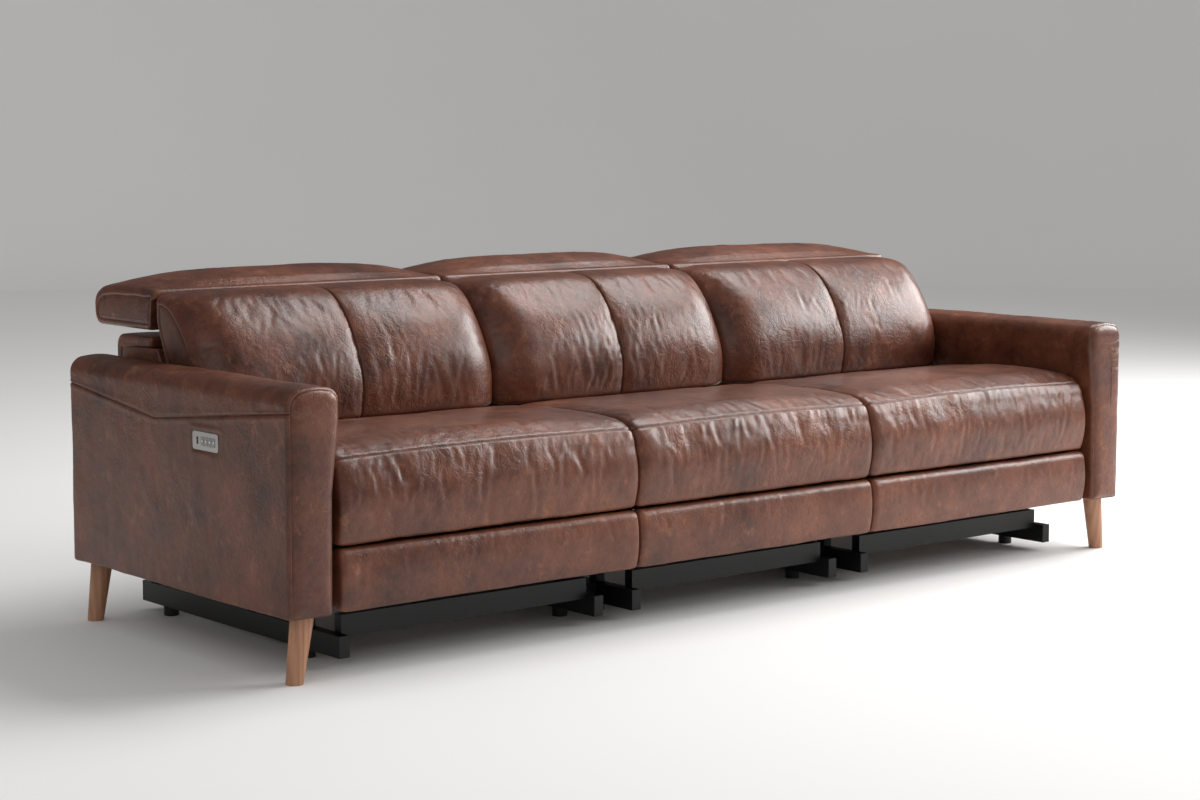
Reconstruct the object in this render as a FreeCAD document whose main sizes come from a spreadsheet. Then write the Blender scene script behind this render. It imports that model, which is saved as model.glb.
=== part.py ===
import FreeCAD, Part
import math
import os
from FreeCAD import Vector

# Reclining three-seat sofa, in millimetres.
# +X runs along the sofa, the front faces -Y, +Z is up.
# The origin is on the floor under the middle of the whole sofa.

doc = FreeCAD.newDocument("reclining_sofa")
sheet = doc.addObject("Spreadsheet::Sheet", "size")

SIZES = {
    # whole sofa
    "sofa_wide": 2552,
    "sofa_deep": 1028,
    "middle_wide": 732,
    "side_gap": 1.5,
    "seat_slack": 0.3,
    # arms
    "arm_wide": 123,
    "arm_waist": 106,
    "arm_deep": 906,
    "arm_top": 594,
    "arm_bulge_at": 530,
    "arm_waist_at": 380,
    "arm_round": 32,
    "arm_edge": 10,
    "panel_bow": 10,
    "board": 30,
    "arm_frame_wide": 56,
    "arm_frame_top": 556,
    "arm_frame_skin": 6,
    # legs
    "leg_tall": 136,
    "leg_top_wide": 49,
    "leg_foot_wide": 36,
    "leg_splay": 20,
    "leg_in": 33,
    "leg_back": 40,
    # control plates
    "plate_long": 102,
    "plate_tall": 38,
    "plate_proud": 1,
    "plate_round": 7,
    "plate_from_front": 263,
    "plate_foot": 444,
    "module_deep": 14,
    "module_rim": 3,
    "port_from_rear": 20,
    "port_wide": 5.2,
    "port_tall": 12.6,
    "port_wall": 1.2,
    "port_deep": 10,
    "button_long": 11,
    "button_tall": 18,
    "button_step": 15,
    "button_count": 4,
    "button_from_front": 18,
    "button_round": 1.8,
    "button_gap": 0.3,
    "button_proud": 0.6,
    "button_thick": 4,
    # floor frames
    "rail_wide": 25,
    "rail_foot": 20,
    "rail_tall": 46,
    "rail_front": 100,
    "rail_rear": 915,
    "left_rail_in": 70,
    "right_rail_in": 40,
    "cross_front": 130,
    "cross_foot": 57,
    "cross_tall": 47,
    "cross_deep": 25,
    "cross_rear_end": 900,
    "post_front": 240,
    "post_rear": 470,
    "foot_wide": 34,
    "foot_rear": 807,
    "arm_tie_foot": 140,
    "arm_tie_tall": 25,
    # slide tracks and runners
    "track_foot": 205,
    "track_tall": 30,
    "track_wall": 2.5,
    "track_front": 130,
    "track_rear": 500,
    "runner_slack": 0.5,
    "runner_front": 124,
    "runner_rear": 490,
    "seat_travel": 90,
    # seat frames and webbing
    "frame_foot": 272,
    "frame_top": 350,
    "frame_board": 22,
    "frame_in": 6,
    "frame_front": 62,
    "frame_rear": 500,
    "frame_tail": 560,
    "strap_wide": 60,
    "strap_thick": 2.5,
    "strap_count": 5,
    "cross_bar": 20,
    "cross_bar_at": 290,
    "bar_clear": 5,
    "rod_lug": 27,
    # seat cushions
    "roll_front": 3,
    "roll_foot": 271,
    "seam_top": 432,
    "cushion_top": 469,
    "cushion_rear_top": 447,
    "cushion_rear": 529,
    "cushion_crown": 7,
    "cushion_edge": 10,
    "front_lean": 5,
    "nose_back": 58,
    "nose_drop": 8,
    "crest_back": 250,
    "seat_swell": 3,
    "nose_round": 40,
    "crest_round": 80,
    "rear_round": 14,
    "piping_round": 6,
    "notch_round": 4,
    # recline hinges
    "hinge_back": 600,
    "hinge_up": 360,
    "hinge_eye": 14,
    "hinge_plate": 6,
    "hinge_plate_in": 28,
    "plate_root_back": 21,
    "plate_root_down": 42,
    "plate_slack": 1,
    "hinge_pin": 10,
    "pin_slack": 0.1,
    # back frames
    "bar_wide": 26,
    "knee_back": 668,
    "knee_up": 452,
    "shoulder_back": 728,
    "shoulder_up": 640,
    "tube_wide": 22,
    "tube_boss": 44,
    "low_tube_back": 700,
    "low_tube_up": 330,
    "top_tube_back": 742,
    "top_tube_up": 585,
    # back cushions
    "back_foot": 452,
    "back_foot_front": 505,
    "back_belly": 488,
    "back_belly_up": 537,
    "back_brow": 549,
    "back_brow_up": 665,
    "back_top": 748,
    "back_foot_rear": 642,
    "back_edge_in": 58,
    "back_edge_reach": 105,
    "back_edge_down": 14,
    "back_channel": 8,
    "channel_half": 26,
    "lobe_swell": 4,
    "back_swell": 3,
    "back_front_round": 60,
    "back_top_deep": 78,
    "back_top_drop": 4,
    "back_top_round": 40,
    "back_rear_tall": 46,
    "back_corner_round": 12,
    "back_ridge_round": 5,
    # back shells
    "shell_in": 3,
    "shell_foot": 260,
    "shell_top": 640,
    "shell_rear": 912,
    "shell_wall": 24,
    "shell_side": 20,
    "shell_front": 640,
    # headrests
    "neck_back": 746,
    "neck_up": 737,
    "neck_eye": 8,
    "neck_pin": 6,
    "neck_bar": 12,
    "bracket_knee": 40,
    "neck_relief": 16,
    "head_gap": 3,
    "head_foot": 655,
    "head_edge_top": 741,
    "head_top": 781,
    "head_round": 24,
    "head_small_round": 8,
    "head_edge_round": 14,
    "head_crest_round": 60,
    "head_lean": 4,
    "head_front_drop": 7,
    "head_brow_deep": 26,
    "head_crest_deep": 110,
    "head_crest_rise": 3,
    "head_rear_drop": 6,
    "head_rear_slope": 36,
    "head_swell": 2,
    "bracket_up": 704,
    "bracket_wide": 30,
    "bracket_reach": 200,
    # footrests
    "rest_foot": 137,
    "rest_top": 268,
    "rest_front": 1,
    "rest_deep": 42,
    "rest_round": 20,
    "rest_bulge": 4,
    "rest_lean": 2,
    "rest_rear_drop": 4,
    "rest_foot_round": 8,
    "rest_rear_round": 5,
    "rest_sheet": 3,
    "rest_margin": 12,
    "rest_eye_back": 70,
    "rest_eye_up": 238,
    # folding links
    "link_wide": 22,
    "link_thick": 5,
    "link_gap": 1,
    "link_pin": 8,
    "link_in": 6,
    "lift_back": 100,
    "lift_up": 245,
    "rear_link": 200,
    "rear_fold": 45,
    # drives
    "motor_wide": 60,
    "motor_foot": 66,
    "motor_tall": 40,
    "motor_front": 560,
    "motor_rear": 890,
    "motor_wall": 30,
    "rod_slack": 0.5,
    "rod_wide": 18,
    "rod_up": 86,
}

for row, (name, value) in enumerate(SIZES.items(), 1):
    sheet.set(f"A{row}", name)
    sheet.set(f"B{row}", str(value))
    sheet.setAlias(f"B{row}", name)
doc.recompute()


class Length:
    """A size that keeps its value and the expression that gives it from the sheet."""

    def __init__(self, text, value):
        self.text = text
        self.value = float(value)

    def __float__(self):
        return self.value

    def __add__(self, other):
        other = length(other)
        return Length(f"({self.text} + {other.text})", self.value + other.value)

    def __sub__(self, other):
        other = length(other)
        return Length(f"({self.text} - {other.text})", self.value - other.value)

    def __mul__(self, other):
        other = length(other)
        return Length(f"({self.text} * {other.text})", self.value * other.value)

    def __truediv__(self, other):
        other = length(other)
        return Length(f"({self.text} / {other.text})", self.value / other.value)

    def __radd__(self, other):
        return length(other) + self

    def __rsub__(self, other):
        return length(other) - self

    def __rmul__(self, other):
        return length(other) * self

    def __neg__(self):
        return Length(f"(-1 * {self.text})", -self.value)


def length(value):
    return value if isinstance(value, Length) else Length(repr(value), value)


def size(name):
    return Length(f"size.{name}", sheet.get(name))


def count(name):
    return int(sheet.get(name))


def cosine(angle):
    return Length(f"cos({angle.text})", math.cos(math.radians(float(angle))))


def sine(angle):
    return Length(f"sin({angle.text})", math.sin(math.radians(float(angle))))


# Places that several pieces share

half_wide = size("sofa_wide") / 2
front = size("panel_bow") - size("sofa_deep") / 2


def back(distance):
    """The Y of a place that lies this far behind the arms' front faces."""
    return front + distance


pieces = []


def place(thing, x=0, y=0, z=0):
    for axis, value in zip("xyz", (x, y, z)):
        thing.setExpression(f".Placement.Base.{axis}", length(value).text)
    return thing


def block(x, y, z):
    """A box between two values on each axis."""
    thing = doc.addObject("Part::Box", "block")
    for side, (low, high) in zip(("Length", "Width", "Height"), (x, y, z)):
        thing.setExpression(side, (length(high) - low).text)
    return place(thing, x[0], y[0], z[0])


def turned(thing, axis):
    """Points a round piece, which is made along Z, along X or against Y."""
    turns = {"x": (Vector(0, 1, 0), 90), "y": (Vector(1, 0, 0), -90), "z": (Vector(0, 0, 1), 0)}
    thing.Placement.Rotation = FreeCAD.Rotation(*turns[axis])
    return thing


def rod(width, span, y, z, axis="x", across=0):
    """A round bar along X between two values, or along Y between two values."""
    thing = doc.addObject("Part::Cylinder", "rod")
    thing.setExpression("Radius", (length(width) / 2).text)
    thing.setExpression("Height", (length(span[1]) - span[0]).text)
    turned(thing, axis)
    if axis == "x":
        return place(thing, span[0], y, z)
    return place(thing, across, span[0], z)


def joined(kind, name, things):
    thing = doc.addObject(kind, name)
    thing.Shapes = things
    return thing


def cut(base, tool):
    thing = doc.addObject("Part::Cut", "cut")
    thing.Base = base
    thing.Tool = tool
    return thing


def fused(things):
    return things[0] if len(things) == 1 else joined("Part::MultiFuse", "fused", things)


def rounded(base, radius, axis):
    """Rounds the four edges of a box that run along one axis."""
    doc.recompute()
    along = {"x": Vector(1, 0, 0), "y": Vector(0, 1, 0), "z": Vector(0, 0, 1)}[axis]
    picked = []
    for number, edge in enumerate(base.Shape.Edges, 1):
        line = edge.Vertexes[-1].Point - edge.Vertexes[0].Point
        if line.Length > 0 and abs(line.normalize() * along) > 0.99:
            picked.append((number, float(radius), float(radius)))
    thing = doc.addObject("Part::Fillet", "rounded")
    thing.Base = base
    thing.Edges = picked
    return thing


def piece(name, things):
    """A sub-part: one solid, or a group of separate solids."""
    if len(things) == 1:
        thing = things[0]
    else:
        thing = doc.addObject("Part::Compound", name)
        thing.Links = things
    thing.Label = name
    pieces.append(thing)
    return thing


def solid(shape, name="solid"):
    """A piece that Part's own functions make, from sizes read from the sheet."""
    thing = doc.addObject("Part::Feature", name)
    thing.Shape = shape
    thing.Placement = FreeCAD.Placement()
    return thing


# Outlines of lines and arcs, and lofts through them


def arc(first, middle, last):
    return Part.Arc(first, middle, last).toShape()


def line(first, last):
    return Part.LineSegment(first, last).toShape()


def outline(corners, put):
    """A closed outline with rounded corners.

    Each corner is (u, v, radius, bulge): the side that leaves it bows out by its bulge.
    The put function turns u and v into a point in space.
    """
    total = len(corners)
    points = [Vector(float(c[0]), float(c[1]), 0) for c in corners]
    centre = sum(points, Vector()) * (1 / total)
    ends = []
    for n in range(total):
        here, before, after = points[n], points[n - 1], points[(n + 1) % total]
        back_way = (before - here).normalize()
        on_way = (after - here).normalize()
        half = back_way.getAngle(on_way) / 2
        radius = float(corners[n][2])
        reach = radius / math.tan(half)
        middle = (back_way + on_way).normalize() * (radius / math.sin(half) - radius)
        ends.append((here + back_way * reach, here + middle, here + on_way * reach))
    edges = []
    for n in range(total):
        start, middle, end = ends[n]
        following = ends[(n + 1) % total][0]
        edges.append(arc(put(start), put(middle), put(end)))
        bulge = float(corners[n][3])
        if bulge:
            side = following - end
            out = Vector(side.y, -side.x, 0).normalize()
            halfway = (end + following) * 0.5
            if (halfway - centre) * out < 0:
                out = out * -1
            edges.append(arc(put(end), put(halfway + out * bulge), put(following)))
        else:
            edges.append(line(put(end), put(following)))
    return Part.Wire(edges)


def loft(wires):
    return Part.makeLoft(wires, True, True)


def at_x(x):
    """Puts an outline of (distance behind the arms' front, height) at one X."""
    return lambda p: Vector(float(x), float(front) + p.x, p.y)


def at_y(y, side):
    """Puts an outline of (distance in from the arm's outer face, height) at one Y."""
    outer = float(half_wide) - float(size("plate_proud"))
    return lambda p: Vector(side * (outer - p.x), float(y), p.y)


def plate_bar(ends, width, x):
    """A flat bar with round ends between two points of the YZ plane, between two values of X."""
    low, high = float(x[0]), float(x[1])
    first, last = (Vector(low, float(front) + float(e[0]), float(e[1])) for e in ends)
    radius = float(width) / 2
    way = last - first
    side = Vector(0, -way.z, way.y).normalize() * radius
    along = Vector(way).normalize() * radius
    edges = [
        line(first + side, last + side),
        arc(last + side, last + along, last - side),
        line(last - side, first - side),
        arc(first - side, first - along, first + side),
    ]
    return Part.Face(Part.Wire(edges)).extrude(Vector(high - low, 0, 0))


def pin(width, y, z, x):
    """A pin along X about a point of the YZ plane."""
    low, high = float(x[0]), float(x[1])
    foot = Vector(low, float(front) + float(y), float(z))
    return Part.makeCylinder(float(width) / 2, high - low, foot, Vector(1, 0, 0))


def hole(y, z, width, x):
    return pin(float(width) + 2 * float(size("pin_slack")), y, z, (float(x[0]) - 1, float(x[1]) + 1))


# Arms

outer_face = half_wide - size("plate_proud")


def arm_outline(y, side, inset):
    """The arm's section: a waisted side towards the seat, round corners at the top."""
    wide = size("arm_wide") - size("plate_proud")
    waist = size("arm_waist") - size("plate_proud")
    turn = size("arm_round") - inset / 2
    low = size("leg_tall")
    small = size("arm_edge") / 2
    corners = [
        (inset, low, small, 0),
        (inset, size("arm_top") - inset, turn, 1),
        (wide - inset, size("arm_top") - inset, turn, 0),
        (wide - inset, size("arm_bulge_at"), small, 0),
        (waist - inset, size("arm_waist_at"), small, 0),
        (waist - inset - size("arm_edge") / 3, low, small, 0),
    ]
    return outline(corners, at_y(y, side))


def arm_form(side):
    bow = size("panel_bow")
    edge = size("arm_edge")
    rear = back(size("arm_deep"))
    # how far out a ring stands and how far in it is drawn, as shares of the bow and the edge
    bowed = ((1, 1.6), (0.8, 0.9), (0.4, 0.3), (0, 0))
    rings = [(front - bow * out, edge * drawn) for out, drawn in bowed]
    rounded_off = ((1, 0), (0.3, 0.3), (0, 0.9))
    rings += [(rear - edge * short, edge * drawn) for short, drawn in rounded_off]
    return loft([arm_outline(y, side, inset) for y, inset in rings])


def across(side, near, far):
    """Two values of X, measured in from the arm's outer face, in rising order."""
    ends = (side * (outer_face - near), side * (outer_face - far))
    return ends if side < 0 else ends[::-1]


def arm_boards(side):
    """The wooden frame inside one arm: three rails, with posts between them."""
    board = size("board")
    x = across(side, (size("arm_waist") - size("arm_frame_wide")) / 2,
               (size("arm_waist") + size("arm_frame_wide")) / 2)
    foot = size("leg_tall") + size("arm_frame_skin")
    top = size("arm_frame_top")
    middle = (foot + top) / 2
    y_low = back(size("board"))
    y_high = back(size("arm_deep") - size("board"))
    boards = []
    levels = (foot, middle - board / 2, top - board)
    for z in levels:
        boards.append(block(x, (y_low, y_high), (z, z + board)))
    posts = 4
    for n in range(posts):
        y = y_low + (y_high - y_low - board) * n / (posts - 1)
        for low, high in zip(levels, levels[1:]):
            boards.append(block(x, (y, y + board), (low + board, high)))
    return boards


arm_boards_all = []
plates = []
ports = []
buttons = {}
SIDES = {"left": -1, "right": 1}


def plate_places():
    y_low = back(size("plate_from_front"))
    z_low = size("plate_foot")
    return (y_low, y_low + size("plate_long")), (z_low, z_low + size("plate_tall"))


def port_places():
    (_, y_high), (z_low, z_high) = plate_places()
    y = y_high - size("port_from_rear")
    z = (z_low + z_high) / 2
    return y, z


def button_places():
    """The middle of each button, from the front one to the rear one."""
    (y_low, _), (z_low, z_high) = plate_places()
    z = (z_low + z_high) / 2
    first = y_low + size("button_from_front")
    return [(first + size("button_step") * n, z) for n in range(count("button_count"))]


def around(middle, width):
    return (middle - width / 2, middle + width / 2)


for name, side in SIDES.items():
    boards = arm_boards(side)
    arm_boards_all += boards
    y_plate, z_plate = plate_places()
    rim = size("module_rim")
    pocket = block(across(side, length(-1), size("module_deep")),
                   (y_plate[0] + rim, y_plate[1] - rim), (z_plate[0] + rim, z_plate[1] - rim))
    cover = cut(cut(solid(arm_form(side)), joined("Part::MultiFuse", "boards", boards)), pocket)
    piece(f"arm_cover_{name}", [cover])

    proud = size("plate_proud")
    blank = block(across(side, -proud, length(0)), y_plate, z_plate)
    blank = rounded(blank, size("plate_round"), "x")
    openings = []
    y_port, z_port = port_places()
    wall = size("port_wall")
    wide = size("port_wide") + 2 * wall
    tall = size("port_tall") + 2 * wall
    slot_x = across(side, -proud - 1, length(1))
    openings.append(block(slot_x, around(y_port, wide), around(z_port, tall)))
    gap = size("button_gap")
    for y, z in button_places():
        openings.append(block(slot_x, around(y, size("button_long") + 2 * gap),
                              around(z, size("button_tall") + 2 * gap)))
    plates.append(cut(blank, fused(openings)))

    port = block(across(side, -proud, size("port_deep") + wall),
                 around(y_port, wide), around(z_port, tall))
    bore = block(across(side, -proud - 1, size("port_deep")),
                 around(y_port, size("port_wide")), around(z_port, size("port_tall")))
    ports.append(cut(port, bore))

    for n, (y, z) in enumerate(button_places(), 1):
        stand = -proud - size("button_proud")
        cap = block(across(side, stand, stand + size("button_thick")),
                    around(y, size("button_long")), around(z, size("button_tall")))
        buttons[f"button_{name}_{n}"] = rounded(cap, size("button_round"), "x")

piece("arm_frames", arm_boards_all)
piece("control_plates", plates)
piece("usb_ports", ports)
for name, cap in buttons.items():
    piece(name, [cap])


def leg(side, y):
    """A round tapered leg that leans out along X."""
    foot_x = side * (half_wide - size("leg_in"))
    circles = []
    for wide, x, z in ((size("leg_foot_wide"), foot_x, length(0)),
                       (size("leg_top_wide"), foot_x - side * size("leg_splay"), size("leg_tall"))):
        ring = doc.addObject("Part::Circle", "ring")
        ring.setExpression("Radius", (wide / 2).text)
        circles.append(place(ring, x, y, z))
    thing = doc.addObject("Part::Loft", "leg")
    thing.Sections = circles
    thing.Solid = True
    thing.Ruled = True
    return thing


leg_rows = (back(size("leg_back")), back(size("arm_deep") - size("leg_back")))
piece("legs", [leg(side, y) for side in SIDES.values() for y in leg_rows])

# Seats

arm_side = half_wide - size("arm_wide")
half_middle = size("middle_wide") / 2
SEATS = {
    "left": (-arm_side, -half_middle),
    "middle": (-half_middle, half_middle),
    "right": (half_middle, arm_side),
}

floor_bars = []
feet = []
tracks = []
housings = []


def rail_faces(ends):
    """The outward faces of a seat's left and right floor rails."""
    left, right = ends
    half = size("rail_wide") / 2
    return left + size("left_rail_in") - half, right - size("right_rail_in") + half


def bridge(x, behind, z):
    """A short bar along X that ties two frames, or a frame and an arm."""
    return block(x, around(back(behind), size("rail_wide")), z)


z_rail = (size("rail_foot"), size("rail_foot") + size("rail_tall"))
z_tie = (size("arm_tie_foot"), size("arm_tie_foot") + size("arm_tie_tall"))
tie_rear = size("cross_rear_end") - size("cross_deep") / 2
for here, following in (("left", "middle"), ("middle", "right")):
    gap = (rail_faces(SEATS[here])[1], rail_faces(SEATS[following])[0])
    for behind in (size("post_front"), size("foot_rear")):
        floor_bars.append(bridge(gap, behind, z_rail))

# each arm's inner face at the height of its ties, just clear of the leather
waist_slope = (size("arm_edge") / 3) / (size("arm_waist_at") - size("leg_tall"))
tie_drop = (size("arm_waist_at") - z_tie[0]) * waist_slope
arm_skin = half_wide - size("arm_waist") + tie_drop - 2 * size("seat_slack")
for gap in ((-arm_skin, rail_faces(SEATS["left"])[0]), (rail_faces(SEATS["right"])[1], arm_skin)):
    for behind in (size("post_rear"), tie_rear):
        floor_bars.append(bridge(gap, behind, z_tie))
rail = size("rail_wide")
for x in (rail_faces(SEATS["left"])[0], rail_faces(SEATS["right"])[1] - rail):
    floor_bars.append(block((x, x + rail), around(back(tie_rear), rail), (z_rail[1], z_tie[1])))

for name, (left, right) in SEATS.items():
    rail = size("rail_wide")
    centres = (left + size("left_rail_in"), right - size("right_rail_in"))
    ends = (centres[0] + rail / 2, centres[1] - rail / 2)
    for x in centres:
        floor_bars.append(block(around(x, rail), (back(size("rail_front")), back(size("rail_rear"))),
                                z_rail))
        for y in (size("post_front"), size("post_rear")):
            floor_bars.append(block(around(x, rail), around(back(y), rail),
                                    (z_rail[1], size("track_foot"))))
        for y in (size("post_front"), size("foot_rear")):
            pad = doc.addObject("Part::Cylinder", "foot")
            pad.setExpression("Radius", (size("foot_wide") / 2).text)
            pad.setExpression("Height", size("rail_foot").text)
            feet.append(place(pad, x, back(y), 0))
        track = block(around(x, rail), (back(size("track_front")), back(size("track_rear"))),
                      (size("track_foot"), size("track_foot") + size("track_tall")))
        wall = size("track_wall")
        channel = block(around(x, rail - 2 * wall),
                        (back(size("track_front")) - 1, back(size("track_rear")) + 1),
                        (size("track_foot") + wall, size("track_foot") + size("track_tall") + 1))
        tracks.append(cut(track, channel))
    low = size("cross_foot")
    deep = size("cross_deep")
    front_bar = back(size("cross_front"))
    rear_bar = back(size("cross_rear_end"))
    floor_bars.append(block(ends, (front_bar, front_bar + deep), (low, low + size("cross_tall"))))
    floor_bars.append(block(ends, (rear_bar - deep, rear_bar), z_rail))

    # the drive housing stands on the rear cross rail and takes the rod in its bore
    middle = (left + right) / 2
    body = block(around(middle, size("motor_wide")),
                 (back(size("motor_front")), back(size("motor_rear"))),
                 (size("motor_foot"), size("motor_foot") + size("motor_tall")))
    bore = rod(size("rod_wide") + 2 * size("rod_slack"),
               (back(size("motor_front")) - 1, back(size("motor_rear") - size("motor_wall"))),
               None, size("rod_up"), "y", middle)
    housings.append(cut(body, bore))

piece("floor_frames", floor_bars)
piece("feet", feet)
piece("slide_tracks", tracks)
piece("drive_housings", housings)


def layers(ends, inward, thick):
    """The X values of a flat piece near each side of a seat, with the way outwards."""
    left, right = ends
    return (
        ((left + inward, left + inward + thick), -1),
        ((right - inward - thick, right - inward), 1),
    )


def stations(ends, near):
    """X values across a soft piece with their distances from its nearer side, as numbers."""
    left, right = float(ends[0]), float(ends[1])
    half = (right - left) / 2
    places = [d for d in near if d < half] + [half]
    rising = [(left + d, d) for d in places]
    return rising + [(right - d, d) for d in reversed(places[:-1])]


def shape_of(things):
    """The joined shape of finished objects, to make room for them in a soft piece."""
    doc.recompute()
    return [thing.Shape.copy() for thing in things]


def side_inset(distance, reach):
    """How much a section shrinks near the side of a soft piece: most of a quarter round."""
    steepness, depth = 2.2, 0.8
    left_over = max(0.0, 1 - distance / float(reach))
    return float(reach) * depth * left_over ** steepness


def seat_outline(x, distance, half):
    """The seat cushion wraps over the front board of its frame and lies on the straps."""
    crown = float(size("cushion_crown")) * (1 - (1 - distance / half) ** 2)
    inset = side_inset(distance, size("cushion_edge"))
    seat_z = float(size("frame_top") + size("strap_thick") + size("seat_slack")) + inset
    roll_back = float(size("frame_front") - size("seat_slack")) - inset
    roll_front = float(size("roll_front")) + inset
    top = float(size("cushion_top")) + crown - inset
    seam = float(size("seam_top")) + crown - inset
    foot = float(size("roll_foot")) + inset
    rear = float(size("cushion_rear")) - inset
    rear_top = float(size("cushion_rear_top")) - inset
    small, notch = size("piping_round"), size("notch_round")
    swell = size("seat_swell")
    corners = [
        (roll_front, foot, small, swell),
        (roll_front + float(size("front_lean")), seam, small, swell),
        (roll_front + float(size("nose_back")), top - float(size("nose_drop")), size("nose_round"), swell),
        (roll_front + float(size("crest_back")), top, size("crest_round"), swell),
        (rear, rear_top, size("rear_round"), 0),
        (rear, seat_z, small, 0),
        (roll_back, seat_z, notch, 0),
        (roll_back, foot, small, 0),
    ]
    return outline(corners, at_x(x))


def back_outline(x, distance, half):
    """The back cushion leans, swells to a belly and has a sewn channel down its middle."""
    drawn = max(0.0, 1 - distance / float(size("back_edge_reach"))) ** 3
    inward = float(size("back_edge_in")) * drawn
    down = float(size("back_edge_down")) * drawn
    from_seam = (half - distance) / float(size("channel_half"))
    channel = float(size("back_channel")) * max(0.0, 1 - from_seam) ** 2
    fore = inward + channel - float(size("lobe_swell")) * math.sin(math.pi * distance / half)
    less = 0.7 * fore
    foot = float(size("back_foot"))
    neck = float(size("neck_back") - size("head_gap") / 2)
    brow = float(size("back_brow"))
    top = float(size("back_top") - size("back_top_drop")) - down - channel / 2
    turn, small = size("back_front_round"), size("back_corner_round")
    swell = size("back_swell")
    corners = [
        (float(size("back_foot_front")) + less, foot, small, 0),
        (float(size("back_belly")) + fore, float(size("back_belly_up")), turn, swell),
        (brow + fore, float(size("back_brow_up")) - down, turn, swell),
        (brow + float(size("back_top_deep")) + less, top, size("back_top_round"), 0),
        (neck, top, size("back_ridge_round"), 0),
        (neck, float(size("back_top") - size("back_rear_tall")) - down, small, 0),
        (float(size("back_foot_rear")), foot, small, 0),
    ]
    return outline(corners, at_x(x))


def head_outline(x, distance, half):
    """The headrest lies folded back; its top is crowned along its length."""
    rise = 1 - (1 - distance / half) ** 3
    inset = side_inset(distance, size("head_round") / 2)
    near = float(size("neck_back") + size("head_gap")) + inset
    rear = float(size("sofa_deep") - size("panel_bow")) - inset
    foot = float(size("head_foot")) + inset
    low = float(size("head_edge_top")) - inset
    crown = float(size("head_top") - size("head_edge_top")) * rise
    brow_share, rear_share = 0.55, 0.65
    small, edge = size("head_small_round"), size("head_edge_round")
    rear_top = low + crown * rear_share - float(size("head_rear_drop"))
    corners = [
        (near + float(size("head_lean")), foot, small, 0),
        (near, low - float(size("head_front_drop")), small, 0),
        (near + float(size("head_brow_deep")), low + crown * brow_share, edge, size("head_swell")),
        (near + float(size("head_crest_deep")), low + crown + float(size("head_crest_rise")),
         size("head_crest_round"), 0),
        (rear - float(size("head_brow_deep")), rear_top, size("head_round"), 0),
        (rear, (foot + low) / 2, edge, 0),
        (rear - float(size("head_rear_slope")), foot, edge, 0),
    ]
    return outline(corners, at_x(x))


def rest_outline(x, distance, half):
    """The footrest pad: a flat back against its plate, a bowed front and a round top edge."""
    inset = side_inset(distance, size("cushion_edge"))
    near = float(size("rest_front") + size("rest_bulge")) + inset
    rear = float(size("rest_front") + size("rest_deep"))
    foot = float(size("rest_foot")) + inset
    top = float(size("rest_top")) - inset
    corners = [
        (near + float(size("rest_lean")), foot, size("rest_foot_round"), size("rest_bulge")),
        (near, top, size("rest_round"), 0),
        (rear, top - float(size("rest_rear_drop")), size("rest_rear_round"), 0),
        (rear, foot, size("rest_rear_round"), 0),
    ]
    return outline(corners, at_x(x))


def soft(ends, near, section):
    """A padded form between two values of X, from one section to the next."""
    half = (float(ends[1]) - float(ends[0])) / 2
    return loft([section(x, distance, half) for x, distance in stations(ends, near)])


# Where the sections of the soft pieces stand, as distances in from their sides
SEAT_STEPS = (0, 3, 10, 60, 160)
BACK_STEPS = (0, 5, 14, 30, 60, 110, 200)
HEAD_STEPS = (0, 3, 10, 40, 100, 200)
REST_STEPS = (0, 3, 10, 60)

# Where the two folding links of a footrest meet
link_end_back = size("lift_back") + size("rear_link") * cosine(size("rear_fold"))
link_end_up = size("lift_up") - size("rear_link") * sine(size("rear_fold"))


def lift_links(ends):
    """The rear and front links of both sides, each with its own rivet or holes."""
    thick = size("link_thick")
    front_in = size("link_in")
    rear_in = front_in + thick + size("link_gap")
    rear, fore = [], []
    lift = (size("lift_back"), size("lift_up"))
    elbow = (link_end_back, link_end_up)
    eye = (size("rest_eye_back"), size("rest_eye_up"))
    width = size("link_wide")
    bore = size("link_pin")
    both = zip(layers(ends, front_in, thick), layers(ends, rear_in, thick))
    for (x_fore, side), (x_rear, _) in both:
        bar = plate_bar((lift, elbow), width, x_rear).cut(hole(*lift, bore, x_rear))
        reach = pin_reach(x_rear, x_fore, side)
        rear.append(solid(bar.fuse(pin(bore, *elbow, reach)), "rear_link"))
        bar = plate_bar((elbow, eye), width, x_fore)
        for point in (elbow, eye):
            bar = bar.cut(hole(*point, bore, x_fore))
        fore.append(solid(bar, "front_link"))
    return rear, fore


def pin_reach(x_from, x_to, side):
    """A pin that starts inside one layer and runs through another, on this side of a seat."""
    spare = size("link_gap") / 2
    if side < 0:
        return (x_to[0] - spare, x_from[1])
    return (x_from[0], x_to[1] + spare)


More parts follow.
